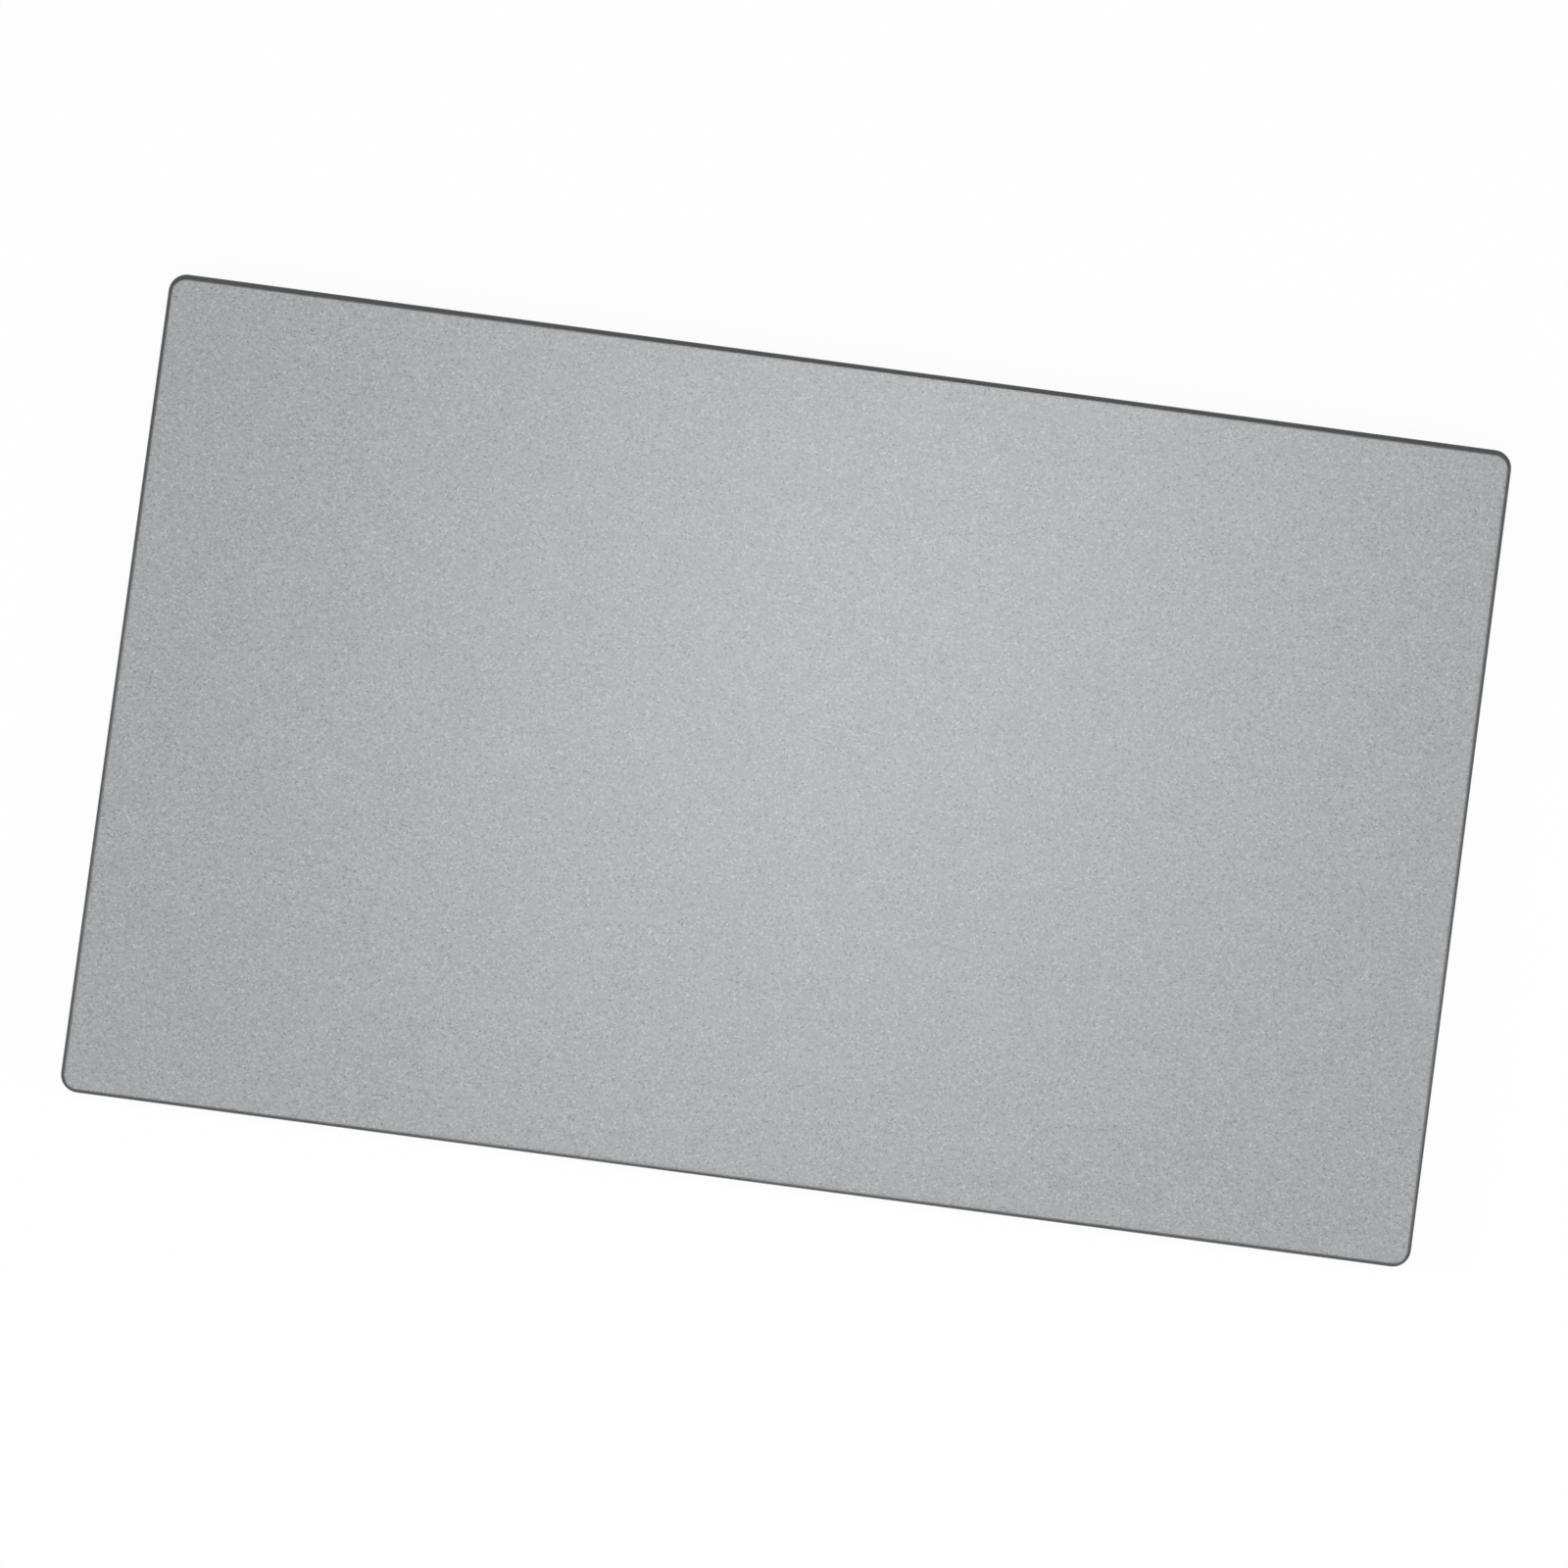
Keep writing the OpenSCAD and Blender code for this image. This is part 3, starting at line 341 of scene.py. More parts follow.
def make_world():
    """White where it is seen; where it only lights, a dim sky above and the floor's bounce below."""
    world = bpy.data.worlds.new("studio")
    bpy.context.scene.world = world
    world.use_nodes = True
    world.node_tree.nodes.clear()
    tree = Tree(world.node_tree)
    direction = tree.out("ShaderNodeTexCoord", None, "Generated")
    height = tree.out("ShaderNodeSeparateXYZ", {0: direction}, 2)
    span = {"Value": height, "From Min": -HORIZON, "From Max": HORIZON}
    level = tree.out("ShaderNodeMapRange", {**span, "To Min": WORLD_DOWN, "To Max": WORLD_UP})
    lighting = tree.out("ShaderNodeBackground", {"Color": WHITE, "Strength": level})
    backdrop = tree.out("ShaderNodeBackground", {"Color": WHITE, "Strength": 1.0})
    surface = tree.out("ShaderNodeMixShader", {0: shown(tree), 1: lighting, 2: backdrop})
    tree.node("ShaderNodeOutputWorld", None, {"Surface": surface})


make_world()
bpy.context.scene.view_settings.view_transform = "Standard"
print("world of", len(bpy.context.scene.world.node_tree.nodes), "nodes")

# %% Floor
FLOOR_REACH = 3.0
FLOOR_GLOW = 0.92
FLOOR_FADE = (0.15, 0.6)


def floor_paper():
    """White paper that mostly glows to the eye, with a small share left near the pad to take its
    shadow. Its back is clear."""
    material = bpy.data.materials.new("studio_floor")
    material.use_nodes = True
    material.node_tree.nodes.clear()
    tree = Tree(material.node_tree)
    glow = tree.out("ShaderNodeEmission", {"Color": WHITE, "Strength": 1.0})
    paper = tree.out("ShaderNodeBsdfDiffuse", {"Color": WHITE})
    clear = tree.out("ShaderNodeBsdfTransparent")
    back = tree.out("ShaderNodeNewGeometry", None, "Backfacing")
    spot = tree.out("ShaderNodeTexCoord", None, "Object")
    reach = tree.node("ShaderNodeVectorMath", {"operation": "LENGTH"}, {0: spot}).outputs["Value"]
    near, far = FLOOR_FADE
    span = {"Value": reach, "From Min": near, "From Max": far, "To Min": FLOOR_GLOW}
    share = tree.node("ShaderNodeMapRange", {"interpolation_type": "SMOOTHSTEP"}, span).outputs[0]
    lit = tree.out("ShaderNodeMixShader", {0: share, 1: paper, 2: glow})
    faced = tree.out("ShaderNodeMixShader", {0: back, 1: lit, 2: clear})
    tree.node("ShaderNodeOutputMaterial", None, {"Surface": faced})
    return material


def make_floor():
    """A wide square of four cells under the posts, which casts nothing back on the pad."""
    spots = np.linspace(-FLOOR_REACH, FLOOR_REACH, 3)
    x, y = np.meshgrid(spots, spots)
    points = np.stack([x.ravel(), y.ravel(), np.full(x.size, cad_low.z)], axis=-1)
    mesh = bpy.data.meshes.new("floor")
    mesh.from_pydata(points, [], np.array([0, 1, 3, 4])[:, None] + np.array([0, 1, 4, 3]))
    mesh.materials.append(floor_paper())
    floor = add_object("floor", mesh)
    floor.visible_diffuse = False
    floor.visible_shadow = False


make_floor()
print("floor at", round(cad_low.z / MM, 3), "mm")

# %% [markdown]
# ## Surfaces from arrays
# Every new piece is a grid of points worked out at once with numpy, and the grid's cells are its
# faces. A rounded plate is a stack of rings: each ring is the plan outline drawn in by some distance
# at some height, so a list of such pairs is the plate's edge profile.

# %% Outlines
ARC_STEPS = 12


def arc(centre, radius, start, end, steps=ARC_STEPS):
    """Points on a circle from one angle to another, in degrees."""
    turn = np.radians(np.linspace(start, end, steps + 1))
    return np.array(centre) + radius * np.stack([np.cos(turn), np.sin(turn)], axis=-1)


def unit_circle(count):
    """Points once round a circle of radius 1."""
    turn = np.linspace(0, 2 * np.pi, count, endpoint=False)
    return np.stack([np.cos(turn), np.sin(turn)], axis=-1)


def rounded_outline(width, depth, radius, side_steps=16):
    """Plan of a round-cornered rectangle, anticlockwise from +X.

    A point is its quarter's corner centre plus the radius times (cos, sin) of the turn. The straight
    sides are filled in evenly between one quarter's end and the next one's start. Returns points and
    the outward directions along which the outline can be drawn in."""
    turn = np.arange(4)[:, None] * np.pi / 2 + np.linspace(0, np.pi / 2, ARC_STEPS + 1)
    out = np.stack([np.cos(turn), np.sin(turn)], axis=-1)
    signs = np.array([[1, 1], [-1, 1], [-1, -1], [1, -1]])
    arcs = (signs * (np.array([width, depth]) / 2 - radius))[:, None, :] + radius * out
    share = np.linspace(0, 1, side_steps + 1)[1:-1, None]
    sides = arcs[:, -1:, :] * (1 - share) + np.roll(arcs, -1, axis=0)[:, :1, :] * share
    side_out = np.repeat(out[:, -1:, :], side_steps - 1, axis=1)
    pairs = ((arcs, sides), (out, side_out))
    return [np.concatenate(pair, axis=1).reshape(-1, 2) for pair in pairs]


print("points of a rounded outline:", len(rounded_outline(4, 2, 1)[0]))

# %% Rings and pieces
SHARP_ANGLE = 40


def grid_faces(rows, columns):
    """Corner numbers of the cells between rows of points; each row closes on itself."""
    row = np.arange(rows - 1)[:, None] * columns
    here = np.arange(columns)[None, :]
    ahead = (here + 1) % columns
    cells = [row + here, row + ahead, row + columns + ahead, row + columns + here]
    return np.stack(cells, axis=-1).reshape(-1, 4)


def stacked_rings(points, out, profile):
    """Closed plate: for each (inset, height) of the profile, the outline minus inset times `out`."""
    inset, height = np.array(profile).T
    plan = points[None] - inset[:, None, None] * out[None]
    level = np.broadcast_to(height[:, None, None], (*plan.shape[:2], 1))
    rings = np.concatenate([plan, level], axis=-1).reshape(-1, 3)
    columns = len(points)
    faces = grid_faces(len(profile), columns).tolist()
    faces.append(list(range(columns))[::-1])
    faces.append(list(range(len(rings) - columns, len(rings))))
    return rings, faces


def make_piece(name, shape, finish, body=None, node=None):
    """A smooth-shaded object at the origin, from points in metres and lists of point numbers.

    It gets its finish, the body that it rides on and the node that it stands for, which it hides. A
    piece that is given no body rides on none."""
    mesh = bpy.data.meshes.new(name)
    points, faces = shape
    mesh.from_pydata(points, [], faces)
    mesh.polygons.foreach_set("use_smooth", np.ones(len(mesh.polygons), dtype=bool))
    mesh.set_sharp_from_angle(angle=math.radians(SHARP_ANGLE))
    mesh.update()
    piece = add_object(name, mesh)
    finish.wear(piece)
    if body:
        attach(piece, body)
    if node:
        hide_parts(node)
    print(name, len(mesh.vertices), "points", len(mesh.polygons), "faces")
    return piece


def carry(piece, name, values):
    """Store one number per point on the mesh, for a finish to read."""
    piece.data.attributes.new(name, "FLOAT", "POINT").data.foreach_set("value", values.astype(np.float32))


print("faces between three rings of eight points:", len(grid_faces(3, 8)))

# %% [markdown]
# ## The glass
# The touch plate is a millimetre of glass, etched on top so that a finger glides, and painted grey
# behind. Its top edge is ground round and polished. A bevelled box would do, but here the edge is a
# true quarter circle carried round the outline, and each point also carries its distance from the
# edge, so that the finish can turn from etched to polished where the grinding wheel stopped. In the
# photograph that dark band is widest along the far edge and narrowest along the near one. Here that
# is painted into the colour: each point also says how far it faces the rear, and the band is drawn
# wider there as painted shade and narrower at the front as painted light.

# %% Glass finish
GLASS_BASE = (0.3, 0.307, 0.314)
RIM_BASE = (0.05, 0.051, 0.053)
RIM_FADE = (0.3, 0.56)
# painted shade: the dark polished band at the rim is drawn this many millimetres wider where the glass
# faces the rear
REAR_PAINTED_SHADE_SHIFT = 0.2
FLECK_SIZE, GRAIN_SIZE, CLOUD_SIZE = 0.16, 0.3, 5


def etched_glass():
    """Grey paint seen through etched glass, with a fine fleck; dark and polished at the rim. That dark
    band is drawn wider where the glass faces the rear, as painted shade, and narrower at the front, as
    painted light.
    """
    finish = Finish("etched_grey_glass", {"IOR": 1.5})
    # painted shade and light: the inset is moved by how far a point faces the rear, which widens the dark
    # rim band at the rear and narrows it at the front
    inset = finish.attribute("inset_mm") - REAR_PAINTED_SHADE_SHIFT * finish.attribute("rear")
    rim = 1 - finish.ease(inset, *RIM_FADE)
    fleck = 2 * finish.cells(FLECK_SIZE) - 1
    grain = finish.noise(GRAIN_SIZE) - 0.5
    cloud = finish.noise(CLOUD_SIZE, 2) - 0.5
    tone = 0.485 + 0.8 * fleck ** 7 + 0.15 * fleck ** 8 + 0.85 * grain + 0.15 * cloud
    face = finish.mix(tone, *shades(GLASS_BASE, 0.65, 1.35))
    return finish.skin(finish.mix(rim, face, RIM_BASE), 0.33 - 0.13 * rim, grain * (1 - rim), 0.004)


glass_finish = etched_glass()

# %% Glass surface
CORNER_R = 1.8 * MM
EDGE_R = 0.55 * MM
ARRIS = 0.12 * MM
FLAT_INSETS = (0.8 * MM, 1.1 * MM, 1.6 * MM)
# painted light: on the front the shift keeps only this share, so the dark rim band is drawn narrower there
FRONT_PAINTED_LIGHT_SHARE = 0.35


def make_glass():
    """The plate's profile: flat below, a small chamfer, the wall, a quarter circle and the top."""
    low, high = glass_low.z, glass_high.z
    turn = np.linspace(0, np.pi / 2, ARC_STEPS + 1)
    edge = np.stack([EDGE_R * (1 - np.cos(turn)), high - EDGE_R + EDGE_R * np.sin(turn)], axis=-1)
    flat = [(inset, high) for inset in FLAT_INSETS]
    profile = [(FLAT_INSETS[-1], low), (ARRIS, low), (0, low + ARRIS), *edge, *flat]
    outline, out = rounded_outline(glass_high.x - glass_low.x, glass_high.y - glass_low.y, CORNER_R)
    shape = stacked_rings(outline, out, profile)
    piece = make_piece("touch_glass", shape, glass_finish, "pad", "glass_plate")
    carry(piece, "inset_mm", np.repeat([inset / MM for inset, height in profile], len(outline)))
    # how far each point faces the rear, which drives the painted shade that widens the rim band there and,
    # at a smaller share, the painted light that narrows it at the front
    carry(piece, "rear", np.tile(np.maximum(out[:, 1], FRONT_PAINTED_LIGHT_SHARE * out[:, 1]), len(profile)))


make_glass()

# %% [markdown]
# ## Small helpers for the machine below
# The underside repeats a few shapes many times: pads, solder joints, films and pierced sheets. Each
# has one function here. The places come from the packed solids: points that share a place are joined,
# and the boxes of the separate solids in a node say where every screw, chip part or terminal stands.

# %% Solids
WELD = 0.002 * MM


def solids_of(name):
    """Lowest and highest corners of the separate solids in a node.

    Points at one place get one number. Every triangle hands the smallest of its three numbers to all
    its corners, again and again until nothing changes, and points with equal numbers are one solid."""
    mesh = nodes[name].data
    places = np.empty(len(mesh.vertices) * 3)
    mesh.vertices.foreach_get("co", places)
    places = places.reshape(-1, 3)
    corners = np.empty(len(mesh.loops), dtype=int)
    mesh.loops.foreach_get("vertex_index", corners)
    same = np.unique(np.round(places / WELD), axis=0, return_inverse=True)[1].ravel()
    triangles = same[corners].reshape(-1, 3)
    label = np.arange(same.max() + 1)
    while True:
        passed = label.copy()
        np.minimum.at(passed, triangles, label[triangles].min(axis=1)[:, None])
        if (passed == label).all():
            break
        label = passed[passed]
    owner = np.unique(label[same], return_inverse=True)[1].ravel()
    low = np.full((owner.max() + 1, 3), np.inf)
    high = -low
    np.minimum.at(low, owner, places)
    np.maximum.at(high, owner, places)
    return low, high


screws, capacitors = (len(solids_of(name)[0]) for name in ("boss_screws", "board_capacitors"))
print("boss screws:", screws, "capacitors:", capacitors)

# %% Blocks and discs
DISC_STEPS = 24
board_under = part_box("sensor_board")[0].z


def blocks(low, high, taper=0.0):
    """Many boxes at once, from arrays of low and high corners.

    Corner k of a box takes low or high on each axis by the bits of k. The face at low z is drawn in by
    `taper` on x and y, so a block under the board is narrower below."""
    bits = np.array([[k & 1, k >> 1 & 1, k >> 2 & 1] for k in range(8)], dtype=float)
    points = low[:, None, :] * (1 - bits) + high[:, None, :] * bits
    points[..., :2] += taper * (1 - 2 * bits[:, :2]) * (1 - bits[:, 2:])
    sides = np.array([[0, 2, 3, 1], [4, 5, 7, 6], [0, 1, 5, 4], [2, 6, 7, 3], [0, 4, 6, 2], [1, 3, 7, 5]])
    faces = np.arange(len(low))[:, None, None] * 8 + sides
    return points.reshape(-1, 3), faces.reshape(-1, 4).tolist()


def merged(shapes):
    """Several shapes as one: their points in a row, and the numbers of each moved past those before."""
    starts = np.cumsum([0] + [len(points) for points, faces in shapes])
    faces = [[number + start for number in face] for shape, start in zip(shapes, starts.tolist())
             for face in shape[1]]
    return np.concatenate([points for points, faces in shapes]), faces


def repeated(shape, centres):
    """One shape at many places."""
    points, faces = shape
    return merged([(points + centre, faces) for centre in np.array(centres)])


def discs(places, radius, thick, hole=0.0):
    """Flat discs just under the board, or rings with a hole, at places on it: a small section, spun.
    A ring's section closes on itself, so it needs no caps."""
    circle, band = unit_circle(DISC_STEPS), radius - hole
    section = [(0, -thick), (0, 0)]
    if hole:
        section = [(band, -thick), *section, (band, 0), (band, -thick)]
    points, faces = stacked_rings(radius * circle, circle, section)
    centres = np.column_stack([places, np.full(len(places), board_under)])
    return repeated((points, faces[:-2] if hole else faces), centres)


print("underside of the board at", round(board_under / MM, 3), "mm")

# %% Films and sheets


def film(route, across, width, thick):
    """A strip carried along a route: at each point a rectangle, `width` along `across` and `thick`
    along the direction square to both the route and `across`. The two ends are closed."""
    across = np.array(across, dtype=float)
    up = np.cross(np.gradient(route, axis=0), across)
    up /= np.linalg.norm(up, axis=1, keepdims=True)
    signs = np.array([[-1, -1], [1, -1], [1, 1], [-1, 1]]) / 2
    points = route[:, None, :] + width * signs[:, :1] * across + thick * signs[None, :, 1:] * up[:, None, :]
    faces = grid_faces(len(route), 4).tolist()
    last = 4 * (len(route) - 1)
    faces += [[3, 2, 1, 0], [last, last + 1, last + 2, last + 3]]
    return points.reshape(-1, 3), faces


def inside(points, rims):
    """True where a ray from a point to +X crosses the rims an odd number of times, so within the
    outline and outside its holes."""
    a = np.concatenate(rims)
    b = np.concatenate([np.roll(rim, -1, axis=0) for rim in rims])
    x, y = points[:, :1], points[:, 1:]
    spans = (a[:, 1] > y) != (b[:, 1] > y)
    rise = np.where(b[:, 1] == a[:, 1], 1.0, b[:, 1] - a[:, 1])
    crossing = a[:, 0] + (y - a[:, 1]) * (b[:, 0] - a[:, 0]) / rise
    return (spans & (x < crossing)).sum(axis=1) % 2 == 1


def pierced_sheet(rims, low, high, step):
    """A flat sheet fine enough to bend: the first rim is its outline, and the others are its holes.

    Rim points and a lattice of inner points `step` apart are joined by a Delaunay triangulation that
    keeps the rims. Triangles outside are dropped, the plan is laid at both heights and the rims are
    walled."""
    spots = [np.arange(lo, hi, step) for lo, hi in zip(rims[0].min(axis=0), rims[0].max(axis=0))]
    lattice = np.stack(np.meshgrid(*spots), axis=-1).reshape(-1, 2)
    rim_points = np.concatenate(rims)
    near = np.linalg.norm(lattice[:, None] - rim_points[None], axis=2).min(axis=1) < step / 2
    plan = np.concatenate([rim_points, lattice[inside(lattice, rims) & ~near]])
    counts = np.array([len(rim) for rim in rims])
    starts = np.repeat(np.cumsum(counts) - counts, counts)
    here = np.arange(len(rim_points))
    edges = np.stack([here, starts + (here - starts + 1) % np.repeat(counts, counts)], axis=1)
    made = delaunay_2d_cdt([Vector(p) for p in plan], edges.tolist(), [], 0, 1e-9)
    flat, triangles = np.array([p[:] for p in made[0]]), np.array(made[2])
    triangles = triangles[inside(flat[triangles].mean(axis=1), rims)]
    p, q, r = (flat[triangles[:, k]] for k in range(3))
    area = (q - p)[:, 0] * (r - p)[:, 1] - (q - p)[:, 1] * (r - p)[:, 0]
    triangles = np.where((area > 0)[:, None], triangles, triangles[:, ::-1])
    count = len(flat)
    points = np.concatenate([np.column_stack([flat, np.full(count, z)]) for z in (low, high)])
    a, b = edges.T
    walls = np.stack([a, b, b + count, a + count], axis=1)
    return points, triangles[:, ::-1].tolist() + (triangles + count).tolist() + walls.tolist()


CORNERS = {"front_left": (-1, -1), "front_right": (1, -1), "rear_left": (-1, 1), "rear_right": (1, 1)}


def at_corner(shape, side, end):
    """A shape drawn for the rear right corner, mirrored to another; a single mirror turns faces over."""
    points, faces = shape
    return points * np.array([side, end, 1]), [face[::-1] for face in faces] if side * end < 0 else faces


print("corners:", list(CORNERS))

# %% [markdown]
# ## Metal finishes
# Rolled sheet, drawn cans and turned screws are all metal, and what tells them apart is the direction
# of their marks. Sheet has streaks along its rolling direction, so its noise is stretched. Turned
# pieces have rings about their own axis. A narrow worn edge catches the light on every stamped piece.

# %% Rolled metal
ALONG_X, ALONG_Y = (0.08, 1.5, 1.5), (1.5, 0.06, 1.5)


def sheet_metal(name, tone, rough, stretch, streak_size=0.4, edge=0.06):
    """Rolled or brushed metal: stretched noise moves its tone and gloss, and a wide stain dulls it."""
    finish = Finish(name, {"Metallic": 1.0})
    streak = finish.noise(streak_size, 4, stretch)
    stain = finish.noise(7.0)
    colour = finish.mix(0.7 * streak + 0.3 * stain, *shades(tone, 0.8, 1.2))
    gloss = rough + 0.18 * (streak - 0.5) + 0.1 * (stain - 0.5)
    return finish.skin(colour, gloss, streak, 0.006, edge)


for name, (worn_by, *look) in {
    "rolled_rail_steel": (["left_rail", "right_rail"], (0.4, 0.4, 0.39), 0.38, ALONG_Y),
    "drawn_nickel_steel": (["motor_can"], (0.5, 0.48, 0.45), 0.32, ALONG_X),
    "motor_base_steel": (["motor_plate", "magnet_yoke"], (0.42, 0.42, 0.41), 0.42, ALONG_X),
    "sintered_weight": (["motor_weight"], (0.24, 0.24, 0.25), 0.52, EVEN, 0.12),
    "nickel_magnet": (["weight_magnets"], (0.62, 0.6, 0.56), 0.22, EVEN, 0.3),
    "tinned_anchor": (["socket_anchors"], (0.66, 0.66, 0.64), 0.34, EVEN, 0.2, 0.02),
    "gilt_contact": (["socket_contacts"], (0.86, 0.62, 0.26), 0.26, ALONG_Y, 0.1, 0.02),
}.items():
    sheet_metal(name, *look).wear(*(nodes[node] for node in worn_by))

# %% Turned metal
BLACKENED, BRIGHT, BRASS = (0.1, 0.1, 0.105), (0.55, 0.54, 0.52), (0.8, 0.6, 0.3)


def turned_metal(node, tone, rough):
    """Turned metal: rings about the axis of each piece, found by folding the pad's four corners into
    one."""
    finish = Finish(node + "_turned", {"Metallic": 1.0})
    low, high = solids_of(node)
    centre = np.abs((low + high) / 2 / MM).round(3)
    fold = []
    for value, places in zip(finish.axes()[:2], centre.T):
        spots = np.unique(places)
        fold.append(abs(abs(value) - spots.mean()) - np.ptp(spots) / 2)
    radius = (fold[0] * fold[0] + fold[1] * fold[1]) ** 0.5
    rings = 0.5 + 0.5 * finish.math("SINE", 60 * radius + 3 * finish.noise(0.5, 2))
    smudge = finish.noise(0.8)
    colour = finish.mix(0.3 * rings + 0.7 * smudge, *shades(tone, 0.75, 1.15))
    return finish.skin(colour, rough + 0.1 * (rings - 0.5) + 0.2 * (smudge - 0.5), rings, 0.003, 0.05)


for node, tone, rough in (
    ("spring_screws", BLACKENED, 0.38),
    ("boss_screws", BLACKENED, 0.38),
    ("motor_screws", BLACKENED, 0.38),
    ("mount_posts", BRIGHT, 0.28),
    ("pad_bosses", BRASS, 0.3),
    ("motor_nuts", BRASS, 0.3),
):
    turned_metal(node, tone, rough).wear(nodes[node])
print("materials so far:", len(bpy.data.materials))

# %% [markdown]
# ## Leaf springs
# Each corner of the pad hangs on a stamped spring: a wide root screwed to the rail, a narrow arm and a
# round tip under its boss. The arm has to bend when the pad is pressed, so it is cut here from a fine
# lattice.

# %% Springs
ROOT_LEN = 8 * MM
ROOT_PITCH = 5 * MM
ROOT_R = 0.8 * MM
ROOT_FILLET = 1.2 * MM
ARM_HALF = 3 * MM
TIP_R = 3.2 * MM
HOLE_R = 0.95 * MM
HOLE_STEPS = 24
BOSS_R = 2.2 * MM
SPRING_STEP = 0.9 * MM
spring_low, spring_high = np.array(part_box("rear_right_spring"))
rail_edge = spring_high[0] - ROOT_LEN
tip_x = spring_low[0] + TIP_R
spring_y = (spring_low[1] + spring_high[1]) / 2


def leaf_plan():
    """Outline of a spring: the root with two round corners, two fillets into the arm, the round tip."""
    half = (spring_high[1] - spring_low[1]) / 2
    reach = math.degrees(math.asin(ARM_HALF / TIP_R))
    fillet = arc((rail_edge - ROOT_FILLET, ARM_HALF + ROOT_FILLET), ROOT_FILLET, 0, -90)
    tip = arc((tip_x, 0), TIP_R, reach, 360 - reach, 2 * ARC_STEPS)
    corner = arc((spring_high[0] - ROOT_R, half - ROOT_R), ROOT_R, 0, 90)
    upper = np.concatenate([corner, [(rail_edge, half)]])
    outline = np.concatenate([upper, fillet, tip, (fillet * (1, -1))[::-1], (upper * (1, -1))[::-1]])
    return outline + (0, spring_y)


def spring_holes():
    """Two screw holes in the root and one in the tip."""
    spots = [(rail_edge + ROOT_LEN / 2, spring_y + side * ROOT_PITCH / 2) for side in (-1, 1)]
    last = 360 - 360 / HOLE_STEPS
    return [arc(spot, HOLE_R, 0, last, HOLE_STEPS - 1) for spot in [*spots, (tip_x, spring_y)]]


spring_finish = sheet_metal("rolled_spring_steel", (0.6, 0.59, 0.56), 0.24, ALONG_X, 0.3, 0.04)
sheet = pierced_sheet([leaf_plan(), *spring_holes()], spring_low[2], spring_high[2], SPRING_STEP)
for name, (side, end) in CORNERS.items():
    shape = at_corner(sheet, side, end)
    leaf = make_piece(name + "_leaf", shape, spring_finish, node=name + "_spring")
    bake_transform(leaf)

# %% [markdown]
# ## Strain gauges
# Under each arm an amber film carries a folded line of copper foil. When the arm bends the foil gets a
# little longer, and its resistance tells how hard the pad is pressed. Its tail leaves by the side of
# the arm, curls up in an S and lies on the board.

# %% Gauge routes
TAIL_BEND = 0.5 * MM
TAIL_LAND = 3.0 * MM
FILM_THICK = 0.1 * MM
FOIL_THICK = 0.015 * MM
FOIL_LINES = 9
FOIL_PITCH = 0.26 * MM
FOIL_LENGTH, FOIL_WIDTH, FOIL_TURN = 3.0 * MM, 0.13 * MM, 0.3 * MM
gauge_low, gauge_high = np.array(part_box("rear_right_gauge"))
patch_half = gauge_high[1] - spring_y
gauge_x = (gauge_low[0] + gauge_high[0]) / 2


def tail_route():
    """From the film's edge flat under the arm, a quarter turn up, straight up, a quarter turn back and
    flat along the board."""
    low, high = gauge_low[2] + FILM_THICK / 2, board_under - FILM_THICK / 2
    land = gauge_low[1] + TAIL_LAND
    first = arc((land + 2 * TAIL_BEND, low + TAIL_BEND), TAIL_BEND, -90, -180)
    second = arc((land, high - TAIL_BEND), TAIL_BEND, 0, 90)
    plan = np.concatenate([[(spring_y - patch_half, low)], first, second, [(gauge_low[1], high)]])
    return np.column_stack([np.full(len(plan), gauge_x), plan])


def foil_lines():
    """Thin foil under the film: lines along the arm, joined by turns at alternate ends."""
    across = spring_y + (np.arange(FOIL_LINES) - (FOIL_LINES - 1) / 2) * FOIL_PITCH
    ends = (np.arange(FOIL_LINES - 1) % 2 * 2 - 1) * (FOIL_LENGTH + FOIL_TURN) / 2
    lines = np.column_stack([np.full(FOIL_LINES, gauge_x), across])
    turns = np.column_stack([gauge_x + ends, (across[1:] + across[:-1]) / 2])
    plan = np.concatenate([lines, turns])
    line_half, turn_half = (FOIL_LENGTH / 2, FOIL_WIDTH / 2), (FOIL_TURN / 2, (FOIL_PITCH + FOIL_WIDTH) / 2)
    half = np.repeat([line_half, turn_half], [len(lines), len(turns)], axis=0)
    low, high = (np.full(len(plan), gauge_low[2] - thick) for thick in (FOIL_THICK, 0))
    return np.column_stack([plan - half, low]), np.column_stack([plan + half, high])


print("tail route:", len(tail_route()), "points; foil:", len(foil_lines()[0]), "blocks")

# %% Gauge pieces
FILM_TRACK_PITCH = 0.6
FILM_STEP = 0.7 * MM
PATCH_R = 0.4 * MM
TAIL_WIDTH = 2.4 * MM
TAIL_HELD = 0.4 * MM


def amber_film():
    """Polyimide: clear amber over a pale back, with a faint print of copper tracks along its length."""
    finish = Finish("amber_film", {"IOR": 1.6, "Coat Weight": 0.3, "Coat Roughness": 0.15})
    x, y, z = finish.axes()
    haze = finish.noise(0.9)
    track = finish.ease(from_line(abs(x), FILM_TRACK_PITCH), 0.1, 0.14)
    base = finish.mix(haze, (0.42, 0.16, 0.025), (0.58, 0.25, 0.05))
    colour = finish.mix(0.75 * track, (0.5, 0.27, 0.11), base)
    return finish.skin(colour, 0.28 + 0.2 * (haze - 0.5), track, 0.004, 0.02)


